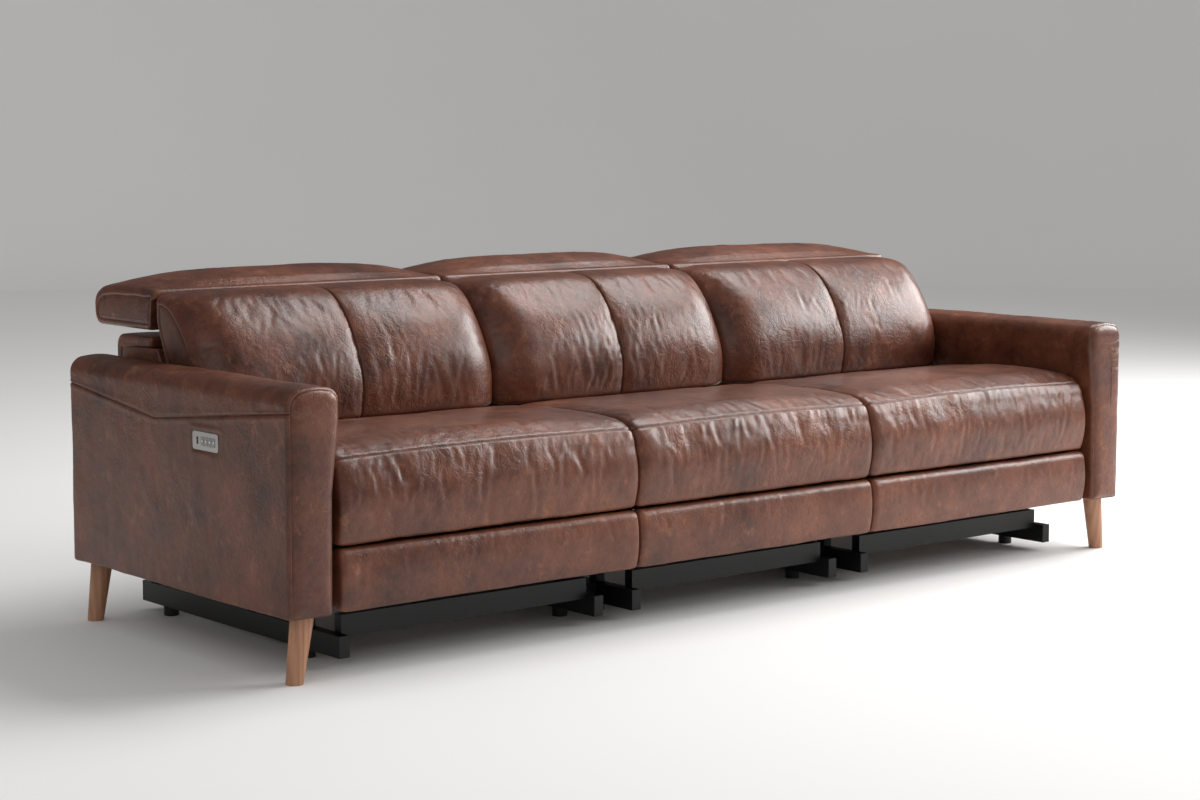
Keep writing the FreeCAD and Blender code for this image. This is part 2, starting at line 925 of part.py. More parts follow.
for name, (left, right) in SEATS.items():
    ends = (left, right)
    soft_ends = (left + size("side_gap"), right - size("side_gap"))
    middle = (left + right) / 2
    board = size("frame_board")
    inner = (left + size("frame_in"), right - size("frame_in"))
    z_frame = (size("frame_foot"), size("frame_top"))
    seat_front = back(size("frame_front"))
    seat_rear = back(size("frame_rear"))
    between = (inner[0] + board, inner[1] - board)

    boards = [
        block(inner, (seat_front, seat_front + board), z_frame),
        block(between, (seat_rear - board, seat_rear), z_frame),
    ]
    for x in ((inner[0], between[0]), (between[1], inner[1])):
        boards.append(block(x, (seat_front + board, back(size("frame_tail"))), z_frame))
    piece(f"seat_frame_{name}", boards)

    straps = []
    total = count("strap_count")
    for n in range(total):
        x = inner[0] + (inner[1] - inner[0]) * (2 * n + 1) / (2 * total)
        straps.append(block(around(x, size("strap_wide")), (seat_front + size("notch_round"), seat_rear),
                            (size("frame_top"), size("frame_top") + size("strap_thick"))))
    piece(f"seat_webbing_{name}", straps)

    cushion = solid(soft(soft_ends, SEAT_STEPS, seat_outline), "cushion")
    piece(f"seat_cushion_{name}", [cushion])

    # steel under the seat: runners, cross bar, drive bracket, link brackets, hinge plates
    rail = size("rail_wide")
    wall = size("track_wall")
    slack = size("runner_slack")
    width = rail - 2 * wall - 2 * slack
    steel = []
    centres = (left + size("left_rail_in"), right - size("right_rail_in"))
    y_runner = (back(size("runner_front")), back(size("runner_rear")))
    z_runner = (size("track_foot") + wall + slack, size("frame_foot"))
    for x in centres:
        tube = block(around(x, width), y_runner, z_runner)
        hollow = block(around(x, width - 2 * wall), (y_runner[0] - 1, y_runner[1] + 1),
                       (z_runner[0] + wall, z_runner[1] - wall))
        steel.append(cut(tube, hollow))
    bar_y = back(size("cross_bar_at"))
    bar_low = size("track_foot") + size("track_tall") + size("bar_clear")
    steel.append(block((centres[0] + width / 2, centres[1] - width / 2),
                       (bar_y, bar_y + size("cross_bar")), (bar_low, bar_low + size("cross_bar"))))
    steel.append(block(around(middle, size("rod_lug")), (bar_y, bar_y + size("hinge_plate")),
                       (size("rod_up") - size("rod_wide") / 2, bar_low)))

    lift = (size("lift_back"), size("lift_up"))
    rear_in = size("link_in") + size("link_thick") + size("link_gap")
    lift_in = rear_in + size("link_thick") + size("link_gap")
    rear_layers = layers(ends, rear_in, size("link_thick"))
    lift_layers = layers(ends, lift_in, size("link_thick"))
    eye = size("link_wide") / 2
    for (x, side), (x_rear, _) in zip(lift_layers, rear_layers):
        tab = block(x, (back(size("lift_back")) - eye, back(size("lift_back")) + 2 * eye),
                    (size("lift_up"), size("frame_foot")))
        disc = pin(size("link_wide"), *lift, x)
        stub = pin(size("link_pin"), *lift, pin_reach(x, x_rear, side))
        steel.append(solid(shape_of([tab])[0].fuse([disc, stub]).removeSplitter(), "lift_bracket"))

    hinge = (size("hinge_back"), size("hinge_up"))
    hinge_layers = layers(ends, size("hinge_plate_in"), size("hinge_plate"))
    stile_in = size("hinge_plate_in") + size("hinge_plate") + size("plate_slack")
    stile_layers = layers(ends, stile_in, size("hinge_plate"))
    for (x, side), (x_stile, _) in zip(hinge_layers, stile_layers):
        root = (size("frame_rear") + size("plate_root_back"), size("hinge_up") - size("plate_root_down"))
        plate = plate_bar((root, hinge), 2 * size("hinge_eye"), x)
        stub = pin(size("hinge_pin"), *hinge, pin_reach(x, x_stile, -side))
        steel.append(solid(plate.fuse(stub), "hinge_plate"))
    piece(f"seat_runners_{name}", steel)

    # the rod stays in its housing by one more travel when the seat is fully forward
    rod_span = (bar_y + size("hinge_plate"), back(size("motor_front") + 2 * size("seat_travel")))
    piece(f"drive_rod_{name}", [rod(size("rod_wide"), rod_span, None, size("rod_up"), "y", middle)])

    # back frame: a bent side plate at each side, with two cross tubes
    knee = (size("knee_back"), size("knee_up"))
    shoulder = (size("shoulder_back"), size("shoulder_up"))
    neck = (size("neck_back"), size("neck_up"))
    low_tube = (size("low_tube_back"), size("low_tube_up"))
    top_tube = (size("top_tube_back"), size("top_tube_up"))
    bracket_in = stile_in + size("hinge_plate") + size("plate_slack")
    bracket_layers = layers(ends, bracket_in, size("hinge_plate"))
    shell_inner = size("shell_in") + size("shell_side")
    tube_ends = (left + shell_inner, right - shell_inner)
    tubes = []
    for y, z in (low_tube, top_tube):
        tubes.append(rod(size("tube_wide"), tube_ends, back(y), z))
    stiles = []
    for (x, side), (x_bracket, _) in zip(stile_layers, bracket_layers):
        bars = [
            plate_bar((hinge, knee), size("bar_wide"), x),
            plate_bar((hinge, low_tube), size("bar_wide"), x),
            plate_bar((knee, shoulder), size("bar_wide"), x),
            plate_bar((shoulder, top_tube), size("bar_wide"), x),
            plate_bar((shoulder, neck), size("neck_bar"), x),
            pin(size("tube_boss"), *low_tube, x),
            pin(size("tube_boss"), *top_tube, x),
            pin(size("neck_pin"), *neck, pin_reach(x, x_bracket, -side)),
        ]
        stile = bars[0].fuse(bars[1:]).removeSplitter()
        stile = stile.cut(hole(*hinge, size("hinge_pin"), x)).cut(shape_of(tubes))
        stiles.append(solid(stile, "stile"))
    piece(f"back_frame_{name}", stiles + tubes)

    # headrest bracket: an arm at each side and a plate between them
    mid_arm = (size("neck_back") + size("bracket_knee"), size("bracket_up"))
    arm_end = (size("neck_back") + size("bracket_reach"), size("bracket_up"))
    arms = []
    for x, side in bracket_layers:
        arm = plate_bar((neck, mid_arm), 2 * size("neck_eye"), x)
        arm = arm.fuse(plate_bar((mid_arm, arm_end), 2 * size("neck_eye"), x)).removeSplitter()
        arms.append(solid(arm.cut(hole(*neck, size("neck_pin"), x)), "headrest_arm"))
    cross = block((bracket_layers[0][0][1], bracket_layers[1][0][0]),
                  (back(arm_end[0]) - size("bracket_wide"), back(arm_end[0])),
                  around(size("bracket_up"), size("hinge_plate")))
    piece(f"headrest_bracket_{name}", arms + [cross])

    # room round both neck pins in the two soft pads
    relief = []
    slack = size("plate_slack")
    for (x, side), (far, _) in zip(stile_layers, bracket_layers):
        room = (x[0] - slack, far[1] + slack) if side < 0 else (far[0] - slack, x[1] + slack)
        relief.append(pin(2 * size("neck_relief"), *neck, room))

    channel = size("channel_half")
    half = (soft_ends[1] - soft_ends[0]) / 2
    near = BACK_STEPS + (float(half - channel), float(half - channel / 3))
    pad = soft(soft_ends, near, back_outline)
    pad = pad.cut([stile.Shape for stile in stiles]).cut(relief)
    piece(f"back_cushion_{name}", [solid(pad, "back_cushion")])

    pad = soft(soft_ends, HEAD_STEPS, head_outline)
    pad = pad.cut(shape_of(arms + [cross])).cut(relief)
    piece(f"headrest_pad_{name}", [solid(pad, "headrest_pad")])

    # back shell: padded panels behind and beside the back frame
    x_shell = (left + size("shell_in"), right - size("shell_in"))
    y_rear = back(size("shell_rear"))
    wall = size("shell_wall")
    top = size("shell_top")
    foot = size("shell_foot")
    panels = [
        block(x_shell, (y_rear - wall, y_rear), (foot, top)),
        block(x_shell, (back(size("neck_back")) + wall / 2, y_rear - wall), (top - wall, top)),
    ]
    profile = [
        (size("shell_front"), foot),
        (size("shell_front") + wall / 2, size("knee_up")),
        (size("shoulder_back"), top - wall),
        (size("shell_rear") - wall, top - wall),
        (size("shell_rear") - wall, foot),
    ]
    for x, _ in layers(ends, size("shell_in"), size("shell_side")):
        points = [at_x(x[0])(Vector(float(y), float(z), 0)) for y, z in profile]
        face = Part.Face(Part.makePolygon(points + points[:1]))
        panels.append(solid(face.extrude(Vector(float(size("shell_side")), 0, 0)), "shell_side"))
    piece(f"back_shell_{name}", panels)

    rear, fore = lift_links(ends)
    piece(f"rear_links_{name}", rear)
    piece(f"front_links_{name}", fore)

    pad = soft(soft_ends, REST_STEPS, rest_outline)
    piece(f"footrest_pad_{name}", [solid(pad, "footrest_pad")])

    sheet_low = size("rest_front") + size("rest_deep") + size("seat_slack")
    margin = size("side_gap") + size("rest_margin")
    panel = block((left + margin, right - margin),
                  (back(sheet_low), back(sheet_low + size("rest_sheet"))),
                  (size("rest_foot") + size("rest_margin"), size("rest_top") - size("rest_margin")))
    form = shape_of([panel])[0]
    eye_at = (size("rest_eye_back"), size("rest_eye_up"))
    for (x, side), (x_fore, _) in zip(rear_layers, layers(ends, size("link_in"), size("link_thick"))):
        root = (sheet_low + size("link_wide") / 2, size("rest_eye_up"))
        ear = plate_bar((root, eye_at), size("link_wide"), x)
        edge = block(x, (back(sheet_low), back(root[0])), around(size("rest_eye_up"), size("link_wide")))
        stub = pin(size("link_pin"), *eye_at, pin_reach(x, x_fore, side))
        form = form.fuse([ear, shape_of([edge])[0], stub])
        doc.removeObject(edge.Name)
    doc.removeObject(panel.Name)
    piece(f"footrest_plate_{name}", [solid(form.removeSplitter(), "footrest_plate")])


# Check every object, then write the pieces

doc.recompute()
for thing in doc.Objects:
    if "Invalid" in thing.State or "Error" in thing.State:
        raise SystemExit(f"{thing.Label}: {thing.State}")
for thing in pieces:
    if thing.Shape.isNull() or not thing.Shape.isValid() or not thing.Shape.Solids:
        raise SystemExit(f"{thing.Label}: its shape is not a sound solid")

os.makedirs("parts", exist_ok=True)
for thing in pieces:
    thing.Shape.exportStep(f"parts/{thing.Label}.step")
    box = thing.Shape.BoundBox
    spans = ", ".join(f"{axis} {low:.1f} {high:.1f}" for axis, low, high in (
        ("X", box.XMin, box.XMax), ("Y", box.YMin, box.YMax), ("Z", box.ZMin, box.ZMax)))
    print(f"{thing.Label}: {len(thing.Shape.Solids)} solids, {spans}")
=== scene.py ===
import math

import bmesh
import bpy
import numpy as np
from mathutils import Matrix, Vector


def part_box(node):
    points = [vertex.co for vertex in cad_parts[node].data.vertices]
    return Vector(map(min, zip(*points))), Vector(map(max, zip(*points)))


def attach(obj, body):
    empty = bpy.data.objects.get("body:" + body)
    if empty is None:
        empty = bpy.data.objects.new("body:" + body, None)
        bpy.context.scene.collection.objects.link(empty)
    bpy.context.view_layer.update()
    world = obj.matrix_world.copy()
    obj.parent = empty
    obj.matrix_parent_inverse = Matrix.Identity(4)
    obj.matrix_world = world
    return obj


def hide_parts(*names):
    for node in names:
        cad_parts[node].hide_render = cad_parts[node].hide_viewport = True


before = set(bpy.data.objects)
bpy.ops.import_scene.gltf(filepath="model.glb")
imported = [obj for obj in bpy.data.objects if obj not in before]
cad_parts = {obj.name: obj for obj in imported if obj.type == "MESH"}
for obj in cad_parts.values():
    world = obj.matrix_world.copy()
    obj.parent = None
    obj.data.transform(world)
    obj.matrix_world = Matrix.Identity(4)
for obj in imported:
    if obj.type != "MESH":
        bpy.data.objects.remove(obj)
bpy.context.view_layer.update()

# A three-seat leather reclining sofa. Metres, +X along the sofa, the front faces -Y.

MM = 0.001
arm_box = {side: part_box(f"arm_cover_{side}") for side in ("left", "right")}
PANEL_BOW = 10 * MM
FRONT = arm_box["left"][0].y + PANEL_BOW
SEATS = ("left", "middle", "right")
SIGNS = {"left": -1, "right": 1}


def behind(distance):
    """The Y of a place this far behind the arms' front faces, from millimetres."""
    return FRONT + distance * MM


# Camera, floor and light

def camera():
    data = bpy.data.cameras.new("camera")
    data.lens = 73.588
    data.sensor_width = 36
    data.sensor_fit = "HORIZONTAL"
    view = bpy.data.objects.new("camera", data)
    view.location = (-3.8302, -4.5490, 1.1169)
    view.rotation_euler = (math.radians(83.5043), 0, math.radians(-39.5877))
    bpy.context.scene.collection.objects.link(view)
    bpy.context.scene.camera = view


def softbox(name, place, aim, wide, tall, power):
    data = bpy.data.lights.new(name, "AREA")
    data.shape = "RECTANGLE"
    data.size, data.size_y, data.energy = wide, tall, power
    lamp = bpy.data.objects.new(name, data)
    lamp.location = place
    lamp.rotation_euler = (Vector(aim) - Vector(place)).to_track_quat("-Z", "Y").to_euler()
    bpy.context.scene.collection.objects.link(lamp)


def srgb(red, green, blue):
    """A colour in the render's own linear numbers, from the usual 0 to 255."""
    def linear(value):
        share = value / 255
        return share / 12.92 if share <= 0.04045 else ((share + 0.055) / 1.055) ** 2.4
    return (linear(red), linear(green), linear(blue), 1.0)


# Shader maths

class Socket:
    """A value in a node tree: arithmetic on it adds Math nodes."""

    def __init__(self, finish, socket):
        self.finish = finish
        self.socket = socket

    def maths(self, operation, *values):
        inputs = dict(enumerate(values))
        return self.finish.node("ShaderNodeMath", {"operation": operation}, inputs)

    def __add__(self, other):
        return self.maths("ADD", self, other)

    __radd__ = __add__

    def __mul__(self, other):
        return self.maths("MULTIPLY", self, other)

    def __rsub__(self, other):
        return self.maths("SUBTRACT", other, self)

    def clipped(self):
        return self.finish.node("ShaderNodeClamp", {}, {"Value": self})

    def ramp(self, low, high):
        """This value carried from low..high to 0..1, with soft ends."""
        settings = {"interpolation_type": "SMOOTHSTEP"}
        return self.finish.node("ShaderNodeMapRange", settings,
                                {"Value": self, "From Min": low, "From Max": high})


class Finish:
    """One material and the nodes that paint it."""

    def __init__(self, name):
        self.material = bpy.data.materials.new(name)
        self.material.use_nodes = True
        self.tree = self.material.node_tree
        self.tree.nodes.clear()
        self.place = self.node("ShaderNodeTexCoord", {}, {}, "Object")

    def node(self, kind, settings, inputs, output=0):
        """Adds a node: its settings first, then the values or links of its sockets."""
        made = self.tree.nodes.new(kind)
        for key, value in settings.items():
            if key == "stops":
                stops = made.color_ramp.elements
                while len(stops) < len(value):
                    stops.new(0.5)
                for stop, (position, colour) in zip(stops, value):
                    stop.position = position
                    stop.color = colour
            else:
                setattr(made, key, value)
        for key, value in inputs.items():
            if isinstance(value, Socket):
                self.tree.links.new(value.socket, made.inputs[key])
            else:
                made.inputs[key].default_value = value
        return Socket(self, made.outputs[output])

    def noise(self, scale, detail=2.0, roughness=0.5, place=None):
        inputs = {"Vector": place or self.place, "Scale": scale, "Detail": detail,
                  "Roughness": roughness}
        return self.node("ShaderNodeTexNoise", {}, inputs)

    def stretched(self, x, y, z):
        """The place on the piece, stretched along some axes."""
        return self.node("ShaderNodeMapping", {}, {"Vector": self.place, "Scale": (x, y, z)})

    def mix(self, share, first, second):
        settings = {"data_type": "RGBA"}
        return self.node("ShaderNodeMix", settings, {0: share, 6: first, 7: second}, 2)

    def bump(self, height, strength, distance, under=None):
        inputs = {"Height": height, "Strength": strength, "Distance": distance}
        if under is not None:
            inputs["Normal"] = under
        return self.node("ShaderNodeBump", {}, inputs)

    def bands(self, direction, place, scale, distortion, **more):
        """Parallel waves across one axis."""
        settings = {"wave_type": "BANDS", "bands_direction": direction}
        inputs = {"Vector": place, "Scale": scale, "Distortion": distortion}
        inputs.update({key.replace("_", " "): value for key, value in more.items()})
        return self.node("ShaderNodeTexWave", settings, inputs)

    def cells(self, place, scale, wide):
        """0 along the borders of cells, rising to 1 inside them."""
        return self.node("ShaderNodeTexVoronoi", {"feature": "DISTANCE_TO_EDGE"},
                         {"Vector": place, "Scale": scale, "Randomness": 1.0}).ramp(0.0, wide)

    def done(self, **inputs):
        named = {key.replace("_", " "): value for key, value in inputs.items()}
        shader = self.node("ShaderNodeBsdfPrincipled", {}, named)
        out = self.tree.nodes.new("ShaderNodeOutputMaterial")
        self.tree.links.new(shader.socket, out.inputs["Surface"])
        return self.material


def leather():
    """Aged brown hide: cloudy dye, rubbed lighter on the rounds, with painted shade darkening the seams
    and creases.
    """
    hide = Finish("brown_leather")
    clouds = hide.noise(2.7, 5.0, 0.62)
    patches = hide.noise(9.5, 6.0, 0.66)
    flecks = hide.noise(31.0, 5.0, 0.7)
    specks = hide.noise(95.0, 3.0, 0.6)
    tone = clouds * 0.36 + patches * 0.34 + flecks * 0.20 + specks * 0.10
    shade = hide.node("ShaderNodeValToRGB", {"stops": [
        (0.37, srgb(60, 30, 20)), (0.46, srgb(90, 49, 33)),
        (0.54, srgb(110, 62, 42)), (0.65, srgb(136, 82, 56))]}, {0: tone})
    tan = hide.noise(20.0, 6.0, 0.72, hide.stretched(1.3, 1.0, 1.0)).ramp(0.56, 0.70)
    blotch = hide.noise(10.0, 6.0, 0.74, hide.stretched(0.8, 1.2, 1.1)).ramp(0.57, 0.70)
    warm = hide.mix(tan * 0.38, shade, srgb(162, 104, 70))
    stained = hide.mix(blotch * 0.34, warm, srgb(44, 21, 16))
    edge = hide.node("ShaderNodeNewGeometry", {}, {}, "Pointiness")
    worn = edge.ramp(0.51, 0.575) * (0.25 + patches * 0.5)
    # Painted shade: sunk marks the hollows of seams and creases (low pointiness), which are darkened
    # below.
    sunk = 1 - edge.ramp(0.40, 0.492)
    rubbed = hide.mix(worn.clipped(), stained, srgb(158, 104, 78))
    # Mixes painted shade, a near-black brown, into the hollows of seams and creases.
    colour = hide.mix((sunk * 0.8).clipped(), rubbed, srgb(24, 11, 8))
    drift = hide.node("ShaderNodeTexNoise", {},
                      {"Vector": hide.place, "Scale": 26.0, "Detail": 3.0}, 1)
    bent = hide.node("ShaderNodeVectorMath", {"operation": "MULTIPLY_ADD"},
                     {0: drift, 1: (0.045, 0.045, 0.045), 2: hide.place})
    cells = hide.cells(bent, 58.0, 0.16)
    small = hide.cells(bent, 210.0, 0.2)
    pores = hide.noise(900.0, 2.0, 0.5)
    patchy = hide.noise(5.0, 3.0, 0.6).ramp(0.40, 0.62)
    grain = hide.bump(small * 0.6 + pores * 0.4, 0.22, 0.0007)
    cracked = hide.bump(cells * patchy, 0.28, 0.0013, grain)
    slack = hide.noise(34.0, 4.0, 0.6)
    soft = hide.bump(slack, 0.30, 0.0045, cracked)
    rough = 0.27 + flecks * 0.14 + patches * 0.10 + sunk * 0.25
    return hide.done(Base_Color=colour, Roughness=rough, Normal=soft, Specular_IOR_Level=0.44,
                     Coat_Weight=0.20, Coat_Roughness=0.26)


def thread():
    yarn = Finish("brown_thread")
    twist = yarn.noise(1400.0, 1.0, 0.4)
    colour = yarn.mix(twist, srgb(34, 17, 13), srgb(72, 42, 31))
    return yarn.done(Base_Color=colour, Roughness=0.55, Normal=yarn.bump(twist, 0.4, 0.0003))


def leg_wood():
    """Pale oiled wood with the grain along the leg."""
    wood = Finish("leg_wood")
    grain = wood.noise(60.0, 5.0, 0.6, wood.stretched(1.0, 1.0, 0.06))
    rings = wood.bands("X", wood.stretched(1.0, 0.4, 0.05), 28.0, 5.0, Detail=3.0, Detail_Scale=1.5)
    fibre = wood.noise(420.0, 2.0, 0.6, wood.stretched(1.0, 1.0, 0.03))
    colour = wood.mix(grain * 0.6 + rings * 0.4, srgb(146, 100, 74), srgb(190, 141, 108))
    flecked = wood.mix(fibre.ramp(0.55, 0.75) * 0.35, colour, srgb(112, 76, 52))
    normal = wood.bump(fibre * 0.6 + rings * 0.4, 0.25, 0.0005)
    return wood.done(Base_Color=flecked, Roughness=0.42 + fibre * 0.12, Normal=normal)


def metal(name, dark, light, rough):
    """Bare metal, faintly uneven, with fine brushed lines."""
    steel = Finish(name)
    lines = steel.noise(700.0, 2.0, 0.6, steel.stretched(1.0, 0.05, 1.0))
    cloud = steel.noise(18.0, 3.0, 0.5)
    colour = steel.mix(cloud * 0.6 + lines * 0.4, dark, light)
    return steel.done(Base_Color=colour, Metallic=1.0, Roughness=rough + lines * 0.05,
                      Normal=steel.bump(lines, 0.10, 0.0002))


def coated(name, dark, light, rough, scale=900.0):
    """Paint or moulded plastic with a fine eggshell texture."""
    skin = Finish(name)
    peel = skin.noise(scale, 2.0, 0.5)
    cloud = skin.noise(14.0, 3.0, 0.5)
    return skin.done(Base_Color=skin.mix(cloud, dark, light), Roughness=rough + peel * 0.10,
                     Normal=skin.bump(peel, 0.15, 0.0002))


def plywood():
    ply = Finish("plywood")
    layers = ply.bands("Y", ply.stretched(1, 1, 0.2), 110.0, 0.4)
    grain = ply.noise(40.0, 4.0, 0.6, ply.stretched(0.08, 1, 1))
    colour = ply.mix(layers * 0.5 + grain * 0.5, srgb(146, 110, 74), srgb(196, 160, 118))
    return ply.done(Base_Color=colour, Roughness=0.62 + grain * 0.1,
                    Normal=ply.bump(grain, 0.2, 0.0004))


def webbing():
    strap = Finish("webbing")
    weave = strap.bands("X", strap.place, 260.0, 0.6)
    cross = strap.bands("Y", strap.place, 320.0, 0.6)
    cloth = weave * 0.5 + cross * 0.5
    colour = strap.mix(cloth, srgb(70, 64, 58), srgb(128, 120, 108))
    return strap.done(Base_Color=colour, Roughness=0.85, Normal=strap.bump(cloth, 0.5, 0.0006))


def glowing_mark():
    """White printed mark on a metal key, with a faint painted glow that brightens it."""
    mark = Finish("key_mark")
    wear = mark.noise(900.0, 1.0, 0.5)
    # The faint emission is painted light: it makes the white print glow a little.
    return mark.done(Base_Color=mark.mix(wear, srgb(232, 232, 230), srgb(250, 250, 250)),
                     Roughness=0.4, Emission_Color=srgb(255, 255, 255), Emission_Strength=0.25)


def floor_paint():
    """Pale matt studio floor and backdrop."""
    paint = Finish("studio_floor")
    cloud = paint.noise(0.8, 2.0, 0.5)
    return paint.done(Base_Color=paint.mix(cloud, srgb(234, 233, 231), srgb(238, 237, 235)),
                      Roughness=0.75, Specular_IOR_Level=0.2)


LEATHER = leather()
THREAD = thread()


# Outlines and surfaces

def bell(distance, wide):
    """1 at no distance, falling softly to 0 on both sides of this many millimetres."""
    return np.exp(-(distance / (wide * MM)) ** 2)


def risen(distance, over, least=0.0):
    """A share that rises to 1 over this many millimetres."""
    return np.clip(distance / (over * MM), least, 1)


def nearest(values, place):
    return int(np.argmin(np.abs(values - place)))


def run_along(points):
    """How far along a line of points each one is."""
    gaps = np.linalg.norm(np.diff(points, axis=0), axis=1)
    return np.concatenate([[0], np.cumsum(gaps)])


def from_side(x, low, high):
    """How far in from the nearer side a place is, and half the width, in millimetres."""
    return min(x - low, high - x) / MM, (high - low) / 2 / MM


def outline(corners):
    """(distance behind the arms' fronts, height, radius, bulge) corners, from millimetres."""
    return [(behind(depth), height * MM, radius * MM, bulge * MM)
            for depth, height, radius, bulge in corners]


def corner_parts(corners):
    """For each (u, v, radius, bulge) corner: its arc's ends and middle, and the side after it."""
    points = np.array([c[:2] for c in corners], float)
    total = len(corners)
    centre = points.mean(0)
    arcs = []
    for n in range(total):
        here = points[n]
        back_way = points[n - 1] - here
        on_way = points[(n + 1) % total] - here
        back_long, on_long = np.linalg.norm(back_way), np.linalg.norm(on_way)
        back_way, on_way = back_way / back_long, on_way / on_long
        half = math.acos(np.clip(back_way @ on_way, -1, 1)) / 2
        reach = min(corners[n][2] / math.tan(half), 0.48 * back_long, 0.48 * on_long)
        radius = reach * math.tan(half)
        bisector = back_way + on_way
        middle = here + bisector / np.linalg.norm(bisector) * radius / math.sin(half)
        arcs.append((middle, here + back_way * reach, here + on_way * reach, math.pi - 2 * half))
    parts = []
    for n in range(total):
        middle, start, end, turn = arcs[n]
        following = arcs[(n + 1) % total][1]
        side = following - end
        out = np.array([side[1], -side[0]])
        out = out / max(np.linalg.norm(out), 1e-9)
        if ((end + following) / 2 - centre) @ out < 0:
            out = -out
        parts.append((middle, start - middle, end - middle, turn, end, side, out * corners[n][3]))
    return parts


def trace(corners, stages):
    """Points at these stages round an outline: 2n to 2n+1 is arc n, and 2n+1 to 2n+2 its side."""
    parts = corner_parts(corners)
    found = np.zeros((len(stages), 2))
    for row, stage in enumerate(stages):
        stretch = int(stage)
        share = stage - stretch
        middle, start, finish, turn, end, side, bulge = parts[stretch // 2 % len(parts)]
        if stretch % 2:
            found[row] = end + side * share + bulge * 4 * share * (1 - share)
        elif turn < 1e-4:
            found[row] = middle + start * (1 - share) + finish * share
        else:
            weights = math.sin((1 - share) * turn), math.sin(share * turn)
            found[row] = middle + (start * weights[0] + finish * weights[1]) / math.sin(turn)
    return found


NEAR_SEAM = np.array([-6.0, -3.6, -2.0, -0.8, 0.0, 0.8, 2.0, 3.6, 6.0]) * MM


def ticks(low, high, step, seams=()):
    """Rising places from low to high, closer together beside each seam."""
    plain = np.linspace(low, high, max(2, round((high - low) / step) + 1))
    close = [seam + offset for seam in seams for offset in NEAR_SEAM
             if low < seam + offset < high]
    kept = [p for p in plain if all(abs(p - c) > 1.2 * MM for c in close) or p in (low, high)]
    return np.array(sorted(kept + close))


def stages_round(corners, step, seams=()):
    """Stages all round an outline, about a step apart and closer beside the seams' stages."""
    parts = corner_parts(corners)
    found = []
    for n, (_, start, _, turn, _, side, _) in enumerate(parts):
        lengths = (np.linalg.norm(start) * turn, np.linalg.norm(side))
        for kind, long in enumerate(lengths):
            stage = 2 * n + kind
            here = [(seam - stage) * long for seam in seams if stage <= seam < stage + 1]
            places = ticks(0, max(long, MM), step if kind else min(step, max(long / 5, MM)), here)
            found += [stage + place / max(long, MM) for place in places[:-1]]
    return np.array(found)


def noise(u, v, seed):
    """Smooth noise from -1 to 1 with bumps about 1 apart."""
    size = 64
    lattice = np.random.default_rng(seed).uniform(-1, 1, (size, size))
    low_u, low_v = np.floor(u).astype(int), np.floor(v).astype(int)
    share_u, share_v = u - low_u, v - low_v
    share_u = share_u ** 2 * (3 - 2 * share_u)
    share_v = share_v ** 2 * (3 - 2 * share_v)
    total = 0
    for step_u, weight_u in ((0, 1 - share_u), (1, share_u)):
        for step_v, weight_v in ((0, 1 - share_v), (1, share_v)):
            corner = lattice[(low_u + step_u) % size, (low_v + step_v) % size]
            total = total + corner * weight_u * weight_v
    return total


def groove(distance, depth=2.6, wide=2.2):
    """A seam: a narrow valley with a low rise at each side, as the leather puffs beside it."""
    rise = 0.30 * bell(np.abs(distance) - 8 * MM, 4.5)
    return depth * MM * (rise - bell(distance, wide))


def creases(u, v, seed, count, box, size, scatter, angle=90):
    """Soft wrinkles scattered over a box of the surface, mostly along one angle."""
    draw = np.random.default_rng(seed)
    long, wide, height = size
    total = np.zeros_like(u)
    for _ in range(count):
        u0, v0 = draw.uniform(box[0], box[1]), draw.uniform(box[2], box[3])
        turn = math.radians(angle + draw.normal(0, scatter))
        length = long * MM * draw.uniform(0.5, 1.4)
        width = wide * draw.uniform(0.6, 1.5)
        deep = height * MM * draw.uniform(0.4, 1.2)
        bend = draw.normal(0, 2.0)
        along = (u - u0) * math.cos(turn) + (v - v0) * math.sin(turn)
        over = -(u - u0) * math.sin(turn) + (v - v0) * math.cos(turn) - bend * along ** 2
        fade = np.exp(-(along / (0.5 * length)) ** 4)
        total += deep * fade * (bell(over - width * MM, width) * 0.8 - bell(over, 0.7 * width))
    return total


